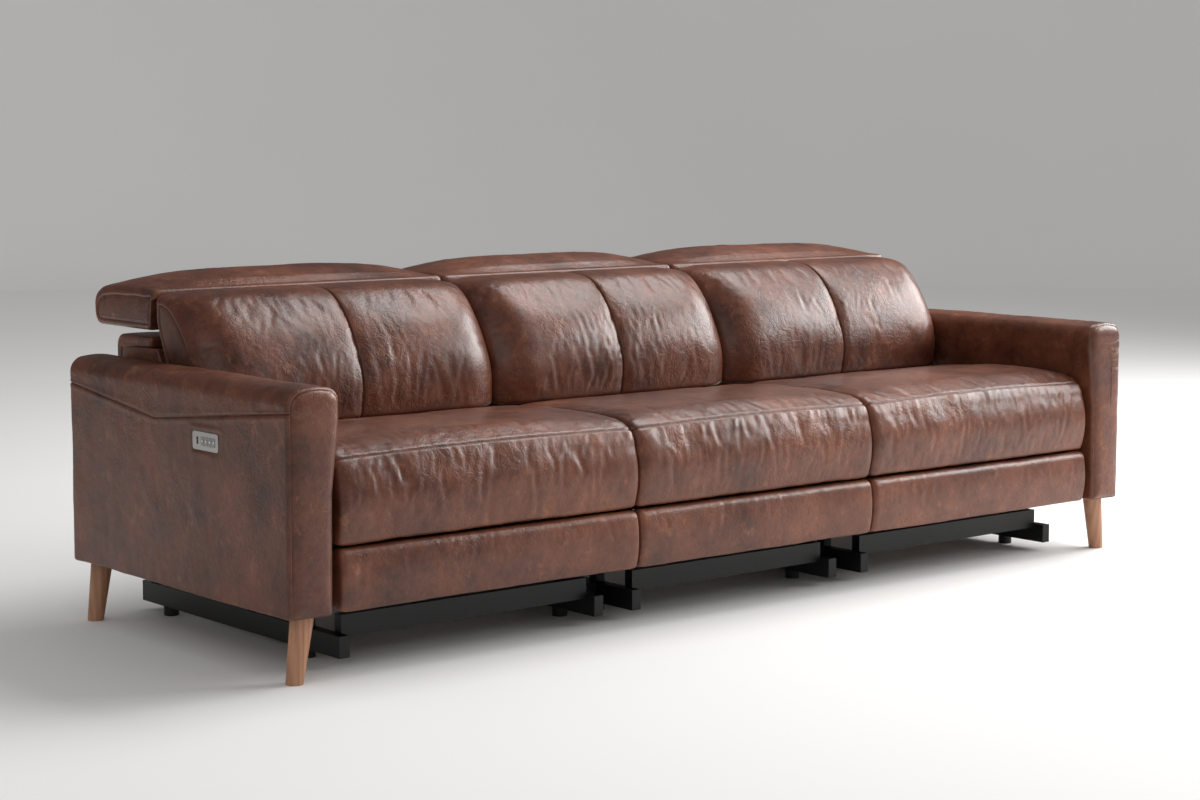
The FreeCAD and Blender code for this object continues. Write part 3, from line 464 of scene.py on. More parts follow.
class Skin:
    """A closed leather form made of rings; it keeps which vertex is where."""

    def __init__(self, name, rings, across, around, stages, first_caps, last_caps):
        self.name = name
        self.points = rings
        self.rows, self.columns = rings.shape[:2]
        self.across, self.around, self.stages = across, around, stages
        self.caps = first_caps
        self.body_rows = slice(first_caps, self.rows - last_caps)

    def normals(self):
        points = self.points
        along = np.gradient(points, axis=0)
        turning = np.roll(points, -1, axis=1) - np.roll(points, 1, axis=1)
        found = np.cross(along, turning)
        found /= np.maximum(np.linalg.norm(found, axis=2, keepdims=True), 1e-12)
        middle = points.mean(axis=(0, 1))
        if ((points - middle) * found).sum() < 0:
            found = -found
        return found

    def push(self, distance):
        self.points = self.points + self.normals() * distance[..., None]

    def soften(self, rounds, share=0.5):
        """Evens the surface a little along both ways."""
        for _ in range(rounds):
            points = self.points
            round_way = (np.roll(points, 1, axis=1) + np.roll(points, -1, axis=1)) / 2
            points = points * (1 - share / 2) + round_way * share / 2
            along = points.copy()
            along[1:-1] = (points[:-2] + points[2:]) / 2
            self.points = points * (1 - share / 2) + along * share / 2

    def even(self, first, last, rounds):
        """Evens the surface round the form, between two stages."""
        share = ((self.stages > first) & (self.stages < last)).astype(float)
        share = share[None, :, None] * 0.5
        for _ in range(rounds):
            points = self.points
            beside = (np.roll(points, 1, axis=1) + np.roll(points, -1, axis=1)) / 2
            self.points = points * (1 - share) + beside * share

    def fill(self, held, pressure=4.0, slack=0.008, limit=8 * MM, frames=10):
        """Puffs the leather up as cloth, with the held vertices kept in place."""
        piece = self.make()
        group = piece.vertex_groups.new(name="held")
        for index, weight in enumerate(np.clip(held, 0, 1).ravel()):
            if weight > 0.01:
                group.add([index], float(weight), "REPLACE")
        cloth = piece.modifiers.new("cloth", "CLOTH")
        hide = cloth.settings
        hide.quality, hide.mass, hide.air_damping = 3, 0.25, 3
        hide.tension_stiffness, hide.compression_stiffness, hide.shear_stiffness = 30, 30, 12
        hide.bending_stiffness = 0.35
        hide.vertex_group_mass = "held"
        hide.shrink_min = -slack
        hide.use_pressure, hide.uniform_pressure_force = True, pressure
        hide.effector_weights.gravity = 0
        cloth.point_cache.frame_start, cloth.point_cache.frame_end = 1, frames
        scene = bpy.context.scene
        for moment in range(1, frames + 1):
            scene.frame_set(moment)
        done = piece.evaluated_get(bpy.context.evaluated_depsgraph_get()).data
        flat = np.empty(len(done.vertices) * 3)
        done.vertices.foreach_get("co", flat)
        move = flat.reshape(self.points.shape) - self.points
        far = np.linalg.norm(move, axis=2, keepdims=True)
        self.points = self.points + move * np.minimum(1, limit / np.maximum(far, 1e-9))
        bpy.data.objects.remove(piece)
        scene.frame_set(1)

    def path(self, row=None, column=None, rows=None, columns=None):
        """Places and outward ways along one row or one column."""
        ways = self.normals()
        if row is not None:
            picked = slice(*columns) if columns else slice(None)
            return self.points[row, picked], ways[row, picked]
        picked = slice(*rows) if rows else slice(None)
        return self.points[picked, column], ways[picked, column]

    def make(self):
        rows, columns = self.rows, self.columns
        faces = ring_faces(rows, columns)
        faces.append(tuple(range(columns - 1, -1, -1)))
        faces.append(tuple((rows - 1) * columns + column for column in range(columns)))
        return mesh_piece(self.name, self.points.reshape(-1, 3), faces, LEATHER)


def ring_faces(rings, around, first=0):
    """The quads between successive closed rings of vertices."""
    faces = []
    for ring in range(rings - 1):
        low = first + ring * around
        for k in range(around):
            after = (k + 1) % around
            faces.append((low + k, low + after, low + around + after, low + around + k))
    return faces


def mesh_piece(name, points, faces, material, smooth=True):
    mesh = bpy.data.meshes.new(name)
    mesh.from_pydata([tuple(p) for p in points], [], faces)
    mesh.validate()
    work = bmesh.new()
    work.from_mesh(mesh)
    bmesh.ops.recalc_face_normals(work, faces=work.faces)
    work.to_mesh(mesh)
    work.free()
    mesh.polygons.foreach_set("use_smooth", [smooth] * len(mesh.polygons))
    mesh.materials.append(material)
    thing = bpy.data.objects.new(name, mesh)
    bpy.context.scene.collection.objects.link(thing)
    return thing


def toward(ring, spine):
    """For each point of a ring, the way to the nearest point of a spine, and how far it is."""
    best = np.full(len(ring), np.inf)
    way = np.zeros_like(ring)
    for first, last in zip(spine, spine[1:]):
        side = last - first
        share = np.clip(((ring - first) @ side) / (side @ side), 0, 1)
        gap = first + share[:, None] * side - ring
        far = np.linalg.norm(gap, axis=1)
        nearer = far < best
        best[nearer] = far[nearer]
        way[nearer] = gap[nearer]
    return way / np.maximum(best, 1e-9)[:, None], best


def end_rings(ring, spine, steps, outward):
    """Rings that close the end of a form, edge first, at (inward, outward) steps in millimetres."""
    way, far = toward(ring, np.array(spine))
    return [ring + way * np.minimum(inward * MM, 0.93 * far)[:, None] + outward * out * MM
            for inward, out in steps]


def quarter(distance, radius):
    """How far a round edge of this radius is drawn in at a distance from its side."""
    left_over = np.clip(1 - distance / radius, 0, 1)
    return radius * (1 - np.sqrt(np.maximum(0, 1 - left_over ** 2)))


def stitch_row(places, ways):
    """Stitches along a line: vertices and faces of small spindles that dip in at both ends."""
    pitch, long, thick, sides = 7.5 * MM, 5.2 * MM, 0.95 * MM, 6
    shape = ((-0.5, 0.25, -0.55), (-0.28, 0.9, 0.05), (0.28, 0.9, 0.05), (0.5, 0.25, -0.55))
    run = run_along(places)

    def at(where, values):
        return np.array([np.interp(where, run, values[:, k]) for k in range(3)])

    def unit(vector):
        return vector / max(np.linalg.norm(vector), 1e-9)

    vertices, faces = [], []
    for n in range(int(run[-1] / pitch)):
        centre = (n + 0.5) * pitch
        middle = at(centre, places)
        up = unit(at(centre, ways))
        along = unit(at(centre + long / 2, places) - at(centre - long / 2, places))
        side = np.cross(up, along)
        first = len(vertices)
        for where, fat, lift in shape:
            core = middle + along * where * long + up * lift * thick
            for k in range(sides):
                angle = 2 * math.pi * k / sides
                out = side * math.cos(angle) + up * math.sin(angle)
                vertices.append(core + out * fat * thick / 2)
        faces += ring_faces(len(shape), sides, first)
        faces.append(tuple(first + k for k in range(sides)))
        last = first + (len(shape) - 1) * sides
        faces.append(tuple(last + k for k in reversed(range(sides))))
    return vertices, faces


def stitching(name, body, rows):
    """One piece that holds several rows of stitches."""
    vertices, faces = [], []
    for row in rows:
        more, sides = stitch_row(*row)
        faces += [tuple(len(vertices) + k for k in face) for face in sides]
        vertices += more
    piece = mesh_piece(name, vertices, faces, THREAD)
    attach(piece, body)
    return piece


def soft_piece(skin, body, node):
    piece = skin.make()
    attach(piece, body)
    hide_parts(node)


def soft_width(node):
    low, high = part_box(node)
    return low.x, high.x


def spread(name, sides, corners, step, cap_steps, spine, seams=(), seam_stages=()):
    """A form between two X values, with rounded ends that close towards a spine."""
    low, high = sides
    stages = stages_round(corners((low + high) / 2, low, high), step, seam_stages)
    xs = ticks(low, high, step, seams)
    edge = np.array([0, 0.6, 1.6, 3, 5, 8, 12]) * MM
    inner = xs[(xs > low + 16 * MM) & (xs < high - 16 * MM)]
    xs = np.concatenate([low + edge, inner, (high - edge)[::-1]])
    rings = []
    for x in xs:
        flat = trace(corners(x, low, high), stages)
        rings.append(np.column_stack([np.full(len(flat), x), flat]))
    outward = np.array([1.0, 0, 0])
    first = end_rings(rings[0], [(low, *p) for p in spine], cap_steps, -outward)
    last = end_rings(rings[-1], [(high, *p) for p in spine], cap_steps, outward)
    caps = len(cap_steps)
    across = np.concatenate([np.full(caps, low), xs, np.full(caps, high)])
    around = run_along(rings[len(rings) // 2])
    return Skin(name, np.array(first[::-1] + rings + last), across, around, stages, caps, caps)


def fields(skin):
    """For every vertex: its place along the form, the run round the form, a mask that leaves
    out the ends, and how far in from the nearer end it is."""
    across = np.repeat(skin.across[:, None], skin.columns, axis=1)
    around = np.repeat(skin.around[None, :], skin.rows, axis=0)
    mask = np.zeros((skin.rows, skin.columns))
    mask[skin.body_rows] = 1
    side = np.minimum(across - skin.across[0], skin.across[-1] - across)
    return across, around, mask, side


def run_at(skin, stage):
    return float(np.interp(stage, skin.stages, skin.around))


# Seat cushions

def seat_corners(x, low, high):
    """The cushion's section: a front roll that drops towards the footrest, and a flat seat."""
    distance, half = from_side(x, low, high)
    crown = 7 * (1 - (1 - distance / half) ** 2)
    inset = quarter(distance, 15)
    front = 3 + inset * 0.9
    top = 469 + crown - inset * 0.9
    seam = 440 + crown * 0.8 - inset * 0.7
    under = 353 + min(inset, 6)
    foot = 271 + inset * 0.5
    rear = 529 - inset * 0.6
    inner = 61.5 - min(inset, 6)
    return outline([
        (front + 8, foot, 11, 11),
        (front + 11, seam - 1, 42, 3),
        (front + 68, top - 5, 60, 2),
        (front + 250, top, 80, 3),
        (rear, 447 - inset, 16, 0),
        (rear, under, 6, 0),
        (inner, under, 4, 0),
        (inner, foot, 6, 0),
    ])


SEAT_SEAM = 2.8
SIDE_CAP = [(1, 0.2), (4, 0.3), (12, 0), (30, 0)]


def seat_cushion(name, seed):
    low, high = soft_width(f"seat_cushion_{name}")
    spine = [(behind(33), 0.31), (behind(33), 0.38), (behind(80), 0.41), (behind(500), 0.40)]
    skin = spread(f"seat_leather_{name}", (low, high), seat_corners, 6.4 * MM, SIDE_CAP, spine,
                  seam_stages=(SEAT_SEAM,))
    skin.soften(2)
    x, run, mask, side = fields(skin)
    seam_run = run_at(skin, SEAT_SEAM)
    below, above = seam_run - run, run - seam_run
    wrinkles = creases(x, run, seed, 80,
                       (low + 0.04, high - 0.04, seam_run - 0.10, seam_run - 0.012), (46, 5.5, 1.15), 17)
    wrinkles += creases(x, run, seed + 1, 16,
                        (low + 0.08, high - 0.08, seam_run - 0.12, seam_run - 0.04), (85, 7, 1.3), 10)
    slack = creases(x, run, seed + 2, 26,
                    (low + 0.03, high - 0.03, seam_run + 0.01, seam_run + 0.16), (60, 9, 0.8), 40)
    pillow = 1.6 * MM * noise(x * 9, run * 11, seed + 3)
    small = 0.45 * MM * noise(x * 42, run * 30, seed + 4)
    dip = -1.2 * MM * bell(below, 60) * noise(x * 24, run * 6, seed + 5)
    total = wrinkles * np.where(below > 0, 1, bell(above, 10)) + slack * (above > 0)
    total += pillow + small + dip * ((below > 0) & (below < 180 * MM))
    skin.push(total * risen(np.abs(above), 7, 0.15) * risen(side, 30) * mask)
    loose = mask * risen(side - 8 * MM, 10) * (np.abs(above) > 3 * MM)
    loose *= risen(run_at(skin, 8) - run, 20) * risen(run - run_at(skin, 1), 10)
    skin.fill(1 - loose, pressure=3.0, slack=0.004, limit=5 * MM)
    skin.push(groove(above) * mask)
    soft_piece(skin, f"seat_{name}", f"seat_cushion_{name}")
    column = nearest(skin.around, seam_run)
    rows = (skin.caps + 4, skin.rows - skin.caps - 4)
    lines = [skin.path(column=column + step, rows=rows) for step in (-3, 3)]
    stitching(f"seat_stitching_{name}", f"seat_{name}", lines)


# Back cushions

def back_corners(x, low, high):
    """A leaning cushion with two lobes, drawn in at its sides and at its middle seam."""
    distance, half = from_side(x, low, high)
    drawn = max(0.0, 1 - distance / 112) ** 2.6
    channel = 6 * max(0.0, 1 - (half - distance) / 36) ** 2
    lobe = 4 * math.sin(math.pi * min(distance / half, 1))
    inset = quarter(distance, 13)
    fore = 50 * drawn + channel - lobe + inset * 0.8
    down = 13 * drawn
    foot = 452 + inset * 0.5
    neck = 733.6 - inset
    top = 744 - down - inset * 0.9
    return outline([
        (503 + fore * 0.7, foot, 16, 0),
        (487 + fore, 538, 70, 3),
        (548 + fore, 666 - down, 70, 3),
        (626 + fore * 0.8, top - 3 - channel / 2, 44, 1),
        (neck, top - channel / 2, 7, 0),
        (neck, top - 46, 12, 0),
        (644 - inset, foot, 8, 0),
    ])


GUSSET_CAP = [(2.2, 0.2), (4.6, -0.3), (5.6, -1.7), (6.6, -2.4), (7.6, -1.8), (9, -0.9),
              (13, -0.5), (24, 0.1), (40, 0.2)]


def back_cushion(name, seed, folds):
    low, high = soft_width(f"back_cushion_{name}")
    middle = (low + high) / 2
    spine = [(behind(575), 0.50), (behind(600), 0.58), (behind(680), 0.685)]
    skin = spread(f"back_leather_{name}", (low, high), back_corners, 6.2 * MM, GUSSET_CAP, spine,
                  seams=(middle,))
    skin.even(1.0, 8.0, 34)
    x, run, mask, side = fields(skin)
    foot, belly, brow = (run_at(skin, stage) for stage in (1, 3, 7))
    off = np.abs(x - middle)
    wrinkles = creases(x, run, seed, folds,
                       (middle - 0.14, middle + 0.14, foot + 0.04, belly + 0.12), (62, 5.5, 1.15), 15)
    wrinkles += creases(x, run, seed + 1, 60,
                        (low + 0.06, high - 0.06, foot + 0.02, belly + 0.12), (48, 6, 0.65), 32)
    wrinkles += creases(x, run, seed + 2, 26,
                        (low + 0.05, high - 0.05, foot, foot + 0.05), (45, 6, 0.6), 30)
    pillow = 1.7 * MM * noise(x * 8, run * 9, seed + 3)
    small = 0.55 * MM * noise(x * 36, run * 28, seed + 4)
    small += 0.25 * MM * noise(x * 80, run * 74, seed + 6)
    front = risen(run - foot, 20) * risen(brow - run, 40)
    total = (wrinkles + pillow + small) * risen(side, 40, 0.1) * risen(off, 9, 0.1)
    skin.push(total * front * mask)
    skin.fill(1 - front * mask * risen(side - 8 * MM, 10) * (off > 3 * MM))
    skin.push(groove(x - middle) * risen(brow + 0.06 - run, 10) * mask)
    soft_piece(skin, f"back_{name}", f"back_cushion_{name}")
    row = nearest(skin.across, middle)
    last_column = nearest(skin.around, brow)
    lines = [skin.path(row=row + step, columns=(1, last_column)) for step in (-3, 3)]
    gusset_row = skin.caps - 7
    for row in (gusset_row, skin.rows - 1 - gusset_row):
        lines.append(skin.path(row=row, columns=(2, last_column)))
    stitching(f"back_stitching_{name}", f"back_{name}", lines)


# Headrests

def head_corners(x, low, high):
    """The headrest's section: a flat-fronted pad whose top swells between its ends."""
    distance, half = from_side(x, low, high)
    rise = 1 - (1 - distance / half) ** 4
    inset = quarter(distance, 12)
    near, rear = 752, 1016 - inset
    foot = 655 + inset * 0.7
    edge = 743 - inset
    top = edge + 37 * rise
    roll, crest = 735.8 + inset, 747.2 - inset
    return outline([
        (near + 4, foot, 10, 0),
        (near - 3, 722, 12, 0),
        (roll, 726, 6, 0),
        (roll, crest, 10.2, 0),
        (near + 6, crest, 8, 0),
        (near + 30, edge + 3 + (top - edge) * 0.45, 26, 2),
        (near + 112, top + 3, 80, 2),
        (rear - 34, top - 2 - (top - edge) * 0.3, 50, 0),
        (rear, edge - 20, 26, 0),
        (rear - 3, foot, 24, 0),
    ])


def headrest(name, seed):
    low, high = soft_width(f"headrest_pad_{name}")
    spine = [(behind(785), 0.70), (behind(975), 0.70)]
    skin = spread(f"headrest_leather_{name}", (low, high), head_corners, 8 * MM, GUSSET_CAP, spine)
    skin.soften(1)
    x, run, mask, side = fields(skin)
    pillow = 1.5 * MM * noise(x * 9, run * 10, seed)
    small = 0.5 * MM * noise(x * 36, run * 30, seed + 1)
    slack = creases(x, run, seed + 2, 50, (low + 0.04, high - 0.04, 0.02, 0.42), (60, 9, 0.7), 40)
    hinge_y, hinge_z = behind(746), 737 * MM
    off_hinge = np.hypot(skin.points[..., 1] - hinge_y, skin.points[..., 2] - hinge_z)
    calm = risen(side, 30, 0.1) * risen(off_hinge - 14 * MM, 24)
    skin.push((pillow + small + slack) * calm * mask)
    soft_piece(skin, f"headrest_{name}", f"headrest_pad_{name}")
    gusset_row = skin.caps - 7
    lines = [skin.path(row=row) for row in (gusset_row, skin.rows - 1 - gusset_row)]
    stitching(f"headrest_stitching_{name}", f"headrest_{name}", lines)


# Footrests

def rest_corners(x, low, high):
    """The folded footrest's section: a thin upright pad."""
    inset = quarter(from_side(x, low, high)[0], 13)
    near, rear = 2 + inset * 0.9, 43
    foot, top = 137 + inset * 0.6, 267 - inset * 0.9
    return outline([
        (near + 4, foot, 10, 5.5),
        (near + 1, top, 26, 1),
        (rear, top - 4, 5, 0),
        (rear, foot, 5, 0),
    ])


def footrest(name, seed):
    low, high = soft_width(f"footrest_pad_{name}")
    spine = [(behind(24), 0.16), (behind(24), 0.245)]
    skin = spread(f"footrest_leather_{name}", (low, high), rest_corners, 6 * MM, SIDE_CAP, spine)
    skin.soften(1)
    x, run, mask, side = fields(skin)
    top = run_at(skin, 2.5)
    wrinkles = creases(x, run, seed, 40, (low + 0.03, high - 0.03, top - 0.07, top), (50, 6, 0.7), 18)
    pillow = 1.0 * MM * noise(x * 10, run * 12, seed + 1)
    small = 0.4 * MM * noise(x * 40, run * 34, seed + 2)
    calm = risen(side, 25, 0.1) * risen(run_at(skin, 3.5) - run, 10)
    skin.push((wrinkles + pillow + small) * calm * mask)
    soft_piece(skin, f"footrest_{name}", f"footrest_pad_{name}")


def hang_shade_sheet(name):
    """Black sheet that hangs behind the gap under a seat's front: painted shade that keeps the view
    through the gap dark.
    """
    low, high = soft_width(f"seat_cushion_{name}")
    draw = np.random.default_rng(7)
    xs = np.linspace(low + 2 * MM, high - 2 * MM, 60)
    near, thick, top, foot = behind(61.9), 0.9 * MM, 300 * MM, 258 * MM
    sway = draw.uniform(0, 0.5 * MM, len(xs))
    points = []
    for x, shift in zip(xs, sway):
        points += [(x, near, top), (x, near + shift, foot), (x, near + thick + shift, foot),
                   (x, near + thick, top)]
    faces = ring_faces(len(xs), 4)
    faces += [(3, 2, 1, 0), tuple(4 * (len(xs) - 1) + k for k in range(4))]
    piece = mesh_piece(f"gap_shade_sheet_{name}", points, faces, SHADE_SHEET)
    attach(piece, f"seat_{name}")


# Arms

PLATE_LOW, PLATE_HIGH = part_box("control_plates")


def arm_corners(inset):
    """The arm's section: (distance in from the outer face, height, radius, bulge)."""
    inner = 122 - inset
    corners = [
        (inset, 136 + inset * 0.3, 6, 0),
        (inset, 595 - inset, 33, 2.5),
        (inner, 594.5 - inset, 27, 0),
        (inner, 530, 30, 0),
        (inner - 17, 380, 60, 0),
        (inner - 20, 136 + inset * 0.3, 6, 0),
    ]
    return [tuple(value * MM for value in corner) for corner in corners]


ARM_OUTER = 1.2748
ARM_STEP = 8 * MM
OUTER_SIDE = (1.0, 1.9999)
SEAM_STAGE = 1.86
KINK = FRONT + 0.529
PANEL_CAP = [(1.0, -0.8), (1.8, -0.6), (2.6, 0.6), (4.0, 2.6), (6.5, 4.8), (10, 6.6), (15, 8.0),
             (22, 8.9), (30, 9.4), (40, 9.6)]
REAR_CAP = [(5, 0.3), (16, 0.3), (30, 0)]


def side_seam_height(distance):
    """Height of the seam on the outer face, at a distance behind the arms' front faces."""
    return np.interp(distance, (0.0, 0.333, 0.529, 0.906), (0.549, 0.513, 0.493, 0.539))


def arm_stages():
    """Stages round the arm's section, closer together at the control plate's height."""
    corners = arm_corners(0)
    foot, top = trace(corners, OUTER_SIDE)[:, 1]
    plate_rows = 1 + (np.arange(0.430, 0.500, 0.0021) - foot) / (top - foot)
    kept = [stage for stage in stages_round(corners, ARM_STEP, (SEAM_STAGE,))
            if abs(stage - plate_rows).min() > 0.002]
    return np.array(sorted(kept + list(plate_rows)))


def warped(stages, corners, height):
    """Moves the stages on the outer side so that the seam's stage comes to this height."""
    foot, top = trace(corners, OUTER_SIDE)[:, 1]
    wanted = (height - foot) / (top - foot)
    share, seam_share = stages - 1, SEAM_STAGE - 1
    moved = 1 + np.where(share < seam_share, share * wanted / seam_share,
                         wanted + (share - seam_share) * (1 - wanted) / (1 - seam_share))
    return np.where((stages >= 1) & (stages <= 2), moved, stages)


def arm_skin(side, rear):
    """The arm's form in rings from front to rear, with a bowed panel closing its front."""
    sign = SIGNS[side]
    stages = arm_stages()
    near = [FRONT + d * MM for d in (0.4, 1.2, 2.4, 4, 6, 9)]
    between = ticks(FRONT + 12 * MM, rear - 14 * MM, ARM_STEP,
                    (PLATE_LOW.y + 4 * MM, PLATE_HIGH.y - 4 * MM))
    far = [rear - d * MM for d in (10, 6.5, 4, 2, 0.8, 0)]
    ys = np.concatenate([near, between, far])
    rings = []
    for y in ys:
        inset = 5.0 * math.exp(-((y - FRONT) / (4.2 * MM)) ** 1.3) + quarter((rear - y) / MM, 12)
        corners = arm_corners(inset)
        flat = trace(corners, warped(stages, corners, side_seam_height(y - FRONT)))
        x = sign * (ARM_OUTER - flat[:, 0])
        rings.append(np.column_stack([x, np.full(len(flat), y), flat[:, 1]]))
    middle = sign * (ARM_OUTER - 54 * MM)
    outward = np.array([0, 1.0, 0])
    first = end_rings(rings[0], [(middle, FRONT, 0.19), (middle, FRONT, 0.54)], PANEL_CAP, -outward)
    last = end_rings(rings[-1], [(middle, rear, 0.19), (middle, rear, 0.54)], REAR_CAP, outward)
    across = np.concatenate([np.full(len(first), FRONT), ys, np.full(len(last), rear)])
    return Skin(f"arm_leather_{side}", np.array(first[::-1] + rings + last), across,
                run_along(rings[len(rings) // 2]), stages, len(first), len(last))


def plate_recess(skin, sign, inside, outer_side, mask):
    """Sinks the leather under the control plate, and keeps it from bulging over the plate."""
    x = skin.points[..., 0]
    x -= sign * 15 * MM * risen(inside - 2.6 * MM, 1.2) * outer_side * mask
    near_plate = (inside > -3 * MM) & (outer_side > 0)
    x[:] = np.where(near_plate, sign * np.minimum(np.abs(x), ARM_OUTER - 0.1 * MM), x)


def arm(side, seed):
    rear = arm_box[side][1].y
    skin = arm_skin(side, rear)
    y, run, mask, _ = fields(skin)
    seam_run = run_at(skin, SEAM_STAGE)
    height, off_middle = skin.points[..., 2], np.abs(skin.points[..., 0])
    outer_side = risen(off_middle - (ARM_OUTER - 8 * MM), 5)
    inside = np.minimum.reduce([y - PLATE_LOW.y, PLATE_HIGH.y - y,
                                height - PLATE_LOW.z, PLATE_HIGH.z - height])
    pillow = 1.4 * MM * noise(y * 7, run * 8, seed) + 0.45 * MM * noise(y * 34, run * 30, seed + 1)
    upper = creases(y, run, seed + 2, 60, (FRONT + 0.02, rear - 0.03, seam_run, run_at(skin, 5)),
                    (60, 9, 0.8), 30)
    lower = creases(y, run, seed + 3, 40, (FRONT + 0.02, rear - 0.03, 0.0, seam_run),
                    (90, 14, 0.6), 30)
    away = risen(np.abs(run - seam_run), 8, 0.1)
    flat_zone = risen(inside + 22 * MM, 18) * outer_side
    total = (pillow + upper + lower) * away * (1 - flat_zone) + groove(run - seam_run, 2.4, 2.0)
    total += groove(y - KINK, 1.0, 2.6) * risen(seam_run - run, 6) * outer_side
    total += 1.3 * MM * bell(inside + 9 * MM, 6) * outer_side
    inner_side = off_middle < ARM_OUTER - 95 * MM
    total = np.where(inner_side, np.minimum(total, 0) - 0.4 * MM, total)
    skin.push(total * mask)
    plate_recess(skin, SIGNS[side], inside, outer_side, mask)
    panel = 0.8 * MM * noise(height * 14 + 3, run * 9, seed + 5)
    panel += creases(np.abs(skin.points[..., 0]), height, seed + 6, 26,
                     (ARM_OUTER - 0.06, ARM_OUTER, 0.30, 0.57), (50, 7, 0.7), 30, angle=20)
    panel_rows = slice(0, skin.caps - 2)
    skin.points[panel_rows, :, 1] -= np.clip(panel, -1.5 * MM, 1.0 * MM)[panel_rows]
    soft_piece(skin, "base", f"arm_cover_{side}")
    side_row = skin.path(column=nearest(skin.around, seam_run) + 3,
                         rows=(skin.caps + 5, skin.rows - 8))
    top_columns = (nearest(skin.stages, 1.05), nearest(skin.stages, 8.0))
    top_row = skin.path(row=skin.caps + 5, columns=top_columns)
    stitching(f"arm_stitching_{side}", "base", [side_row, top_row])


# Back shells: padded covers behind and beside the back frames

SHELL_FOOT, SHELL_TOP, SHELL_WALL, SHELL_REAR = 260, 640, 24, 912


def shell_corners(x, low, high):
    """The shell's section: a back panel whose top turns forward over the frame."""
    near, inner, under = 758, SHELL_REAR - SHELL_WALL, SHELL_TOP - SHELL_WALL
    inset = quarter(from_side(x, low, high)[0], 8) * 0.7
    return outline([
        (inner + inset, SHELL_FOOT + inset, 8, 0),
        (inner + inset, under - inset, 6, 0),
        (near + inset, under + inset, 8, 0),
        (near + inset, SHELL_TOP - inset, 8, 0),
        (SHELL_REAR - inset, SHELL_TOP - inset, 24, 0),
        (SHELL_REAR - inset, SHELL_FOOT + inset, 8, 3),
    ])


def shell(name, seed):
    low, high = soft_width(f"back_shell_{name}")
    spine = [(behind(770), 0.628), (behind(900), 0.628), (behind(900), 0.272)]
    skin = spread(f"shell_leather_{name}", (low, high), shell_corners, 10 * MM,
                  [(2, 0), (6, 0)], spine)
    x, run, mask, side = fields(skin)
    rough = 0.9 * MM * noise(x * 8, run * 9, seed) + 0.3 * MM * noise(x * 34, run * 30, seed + 1)
    skin.push(rough * risen(side, 30) * mask)
    soft_piece(skin, f"back_{name}", f"back_shell_{name}")
    side_panel(name, "left", low, 1)
    side_panel(name, "right", high, -1)


def side_panel(name, side, x_out, way):
    """A padded side of the shell, with round edges."""
    thick = 20
    inner, under = SHELL_REAR - SHELL_WALL, SHELL_TOP - SHELL_WALL
    corners = outline([(640, SHELL_FOOT, 8, 0), (652, 452, 8, 0), (730, under, 8, 0),
                       (inner, under, 8, 0), (inner, SHELL_FOOT, 8, 0)])
    stages = stages_round(corners, 10 * MM)
    flat = trace(corners, stages)
    spine = np.array([(x_out, behind(740), 0.34), (x_out, behind(800), 0.52)])
    inward = np.array([way * MM, 0, 0])
    rings = []
    for depth, inset in ((0, 4), (0.5, 2.2), (1.5, 1), (3, 0.2), (5, 0), (15, 0), (18, 1), (20, 3)):
        ring = np.column_stack([np.full(len(flat), x_out + way * depth * MM), flat])
        direction, _ = toward(ring, spine + inward * depth)
        rings.append(ring + direction * inset * MM)
    steps = [(6, 0.3), (20, 0.4), (45, 0.4), (70, 0.4)]
    first = end_rings(rings[0], spine, steps, np.array([-way, 0, 0]))
    last = end_rings(rings[-1], spine + inward * thick, steps[:2], np.array([way, 0, 0]))
    everything = np.array(first[::-1] + rings + last)
    piece = Skin(f"shell_side_{name}_{side}", everything, None, None, stages, 0, 0).make()
    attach(piece, f"back_{name}")


# Small hard details

def key_mark(side, number):
    """A small printed mark, raised a hair, on one key of a control plate."""
    low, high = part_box(f"button_{side}_{number}")
    x = low.x if side == "left" else high.x
    y, z = (low.y + high.y) / 2, (low.z + high.z) / 2
    reach = 2.2 * MM
    turn = {1: math.pi / 2, 2: 0.0, 3: math.pi, 4: -math.pi / 2}[number]
    angles = [turn + k * 2 * math.pi / 3 for k in range(3)]
    points = [(x + SIGNS[side] * lift, y + reach * math.cos(angle), z + reach * math.sin(angle))
              for lift in (-0.1 * MM, 0.12 * MM) for angle in angles]
    faces = [(0, 1, 2), (5, 4, 3), (0, 3, 4, 1), (1, 4, 5, 2), (2, 5, 3, 0)]
    piece = mesh_piece(f"key_mark_{side}_{number}", points, faces, MARK, smooth=False)
    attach(piece, f"button_{side}_{number}")


def port_tongue(side):
    """The contact tongue inside a charging socket."""
    low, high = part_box("usb_ports")
    sign = SIGNS[side]
    face = sign * (high.x - 1.6 * MM)
    root = sign * (high.x - 9.8 * MM)
    y, z = (low.y + high.y) / 2, (low.z + high.z) / 2
    half_y, half_z, chamfer = 0.95 * MM, 5.2 * MM, 0.4 * MM
    points = []
    for x, trim in ((root, 0), (face - sign * chamfer, 0), (face, chamfer)):
        for du, dv in ((-1, -1), (1, -1), (1, 1), (-1, 1)):
            points.append((x, y + 0.5 * MM + du * (half_y - trim * 0.6), z + dv * (half_z - trim)))
    faces = ring_faces(3, 4) + [(3, 2, 1, 0), (8, 9, 10, 11)]
    piece = mesh_piece(f"port_tongue_{side}", points, faces, TONGUE, smooth=False)
    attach(piece, "base")


def eased(node, width):
    """Breaks the hard edges of a CAD piece by a small bevel."""
    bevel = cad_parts[node].modifiers.new("eased_edges", "BEVEL")
    bevel.width = width
    bevel.segments = 2
    bevel.limit_method = "ANGLE"
    bevel.angle_limit = math.radians(35)


def dress(finish, *nodes):
    for node in nodes:
        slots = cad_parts[node].material_slots
        for slot in slots:
            slot.material = finish
        if not slots:
            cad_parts[node].data.materials.append(finish)


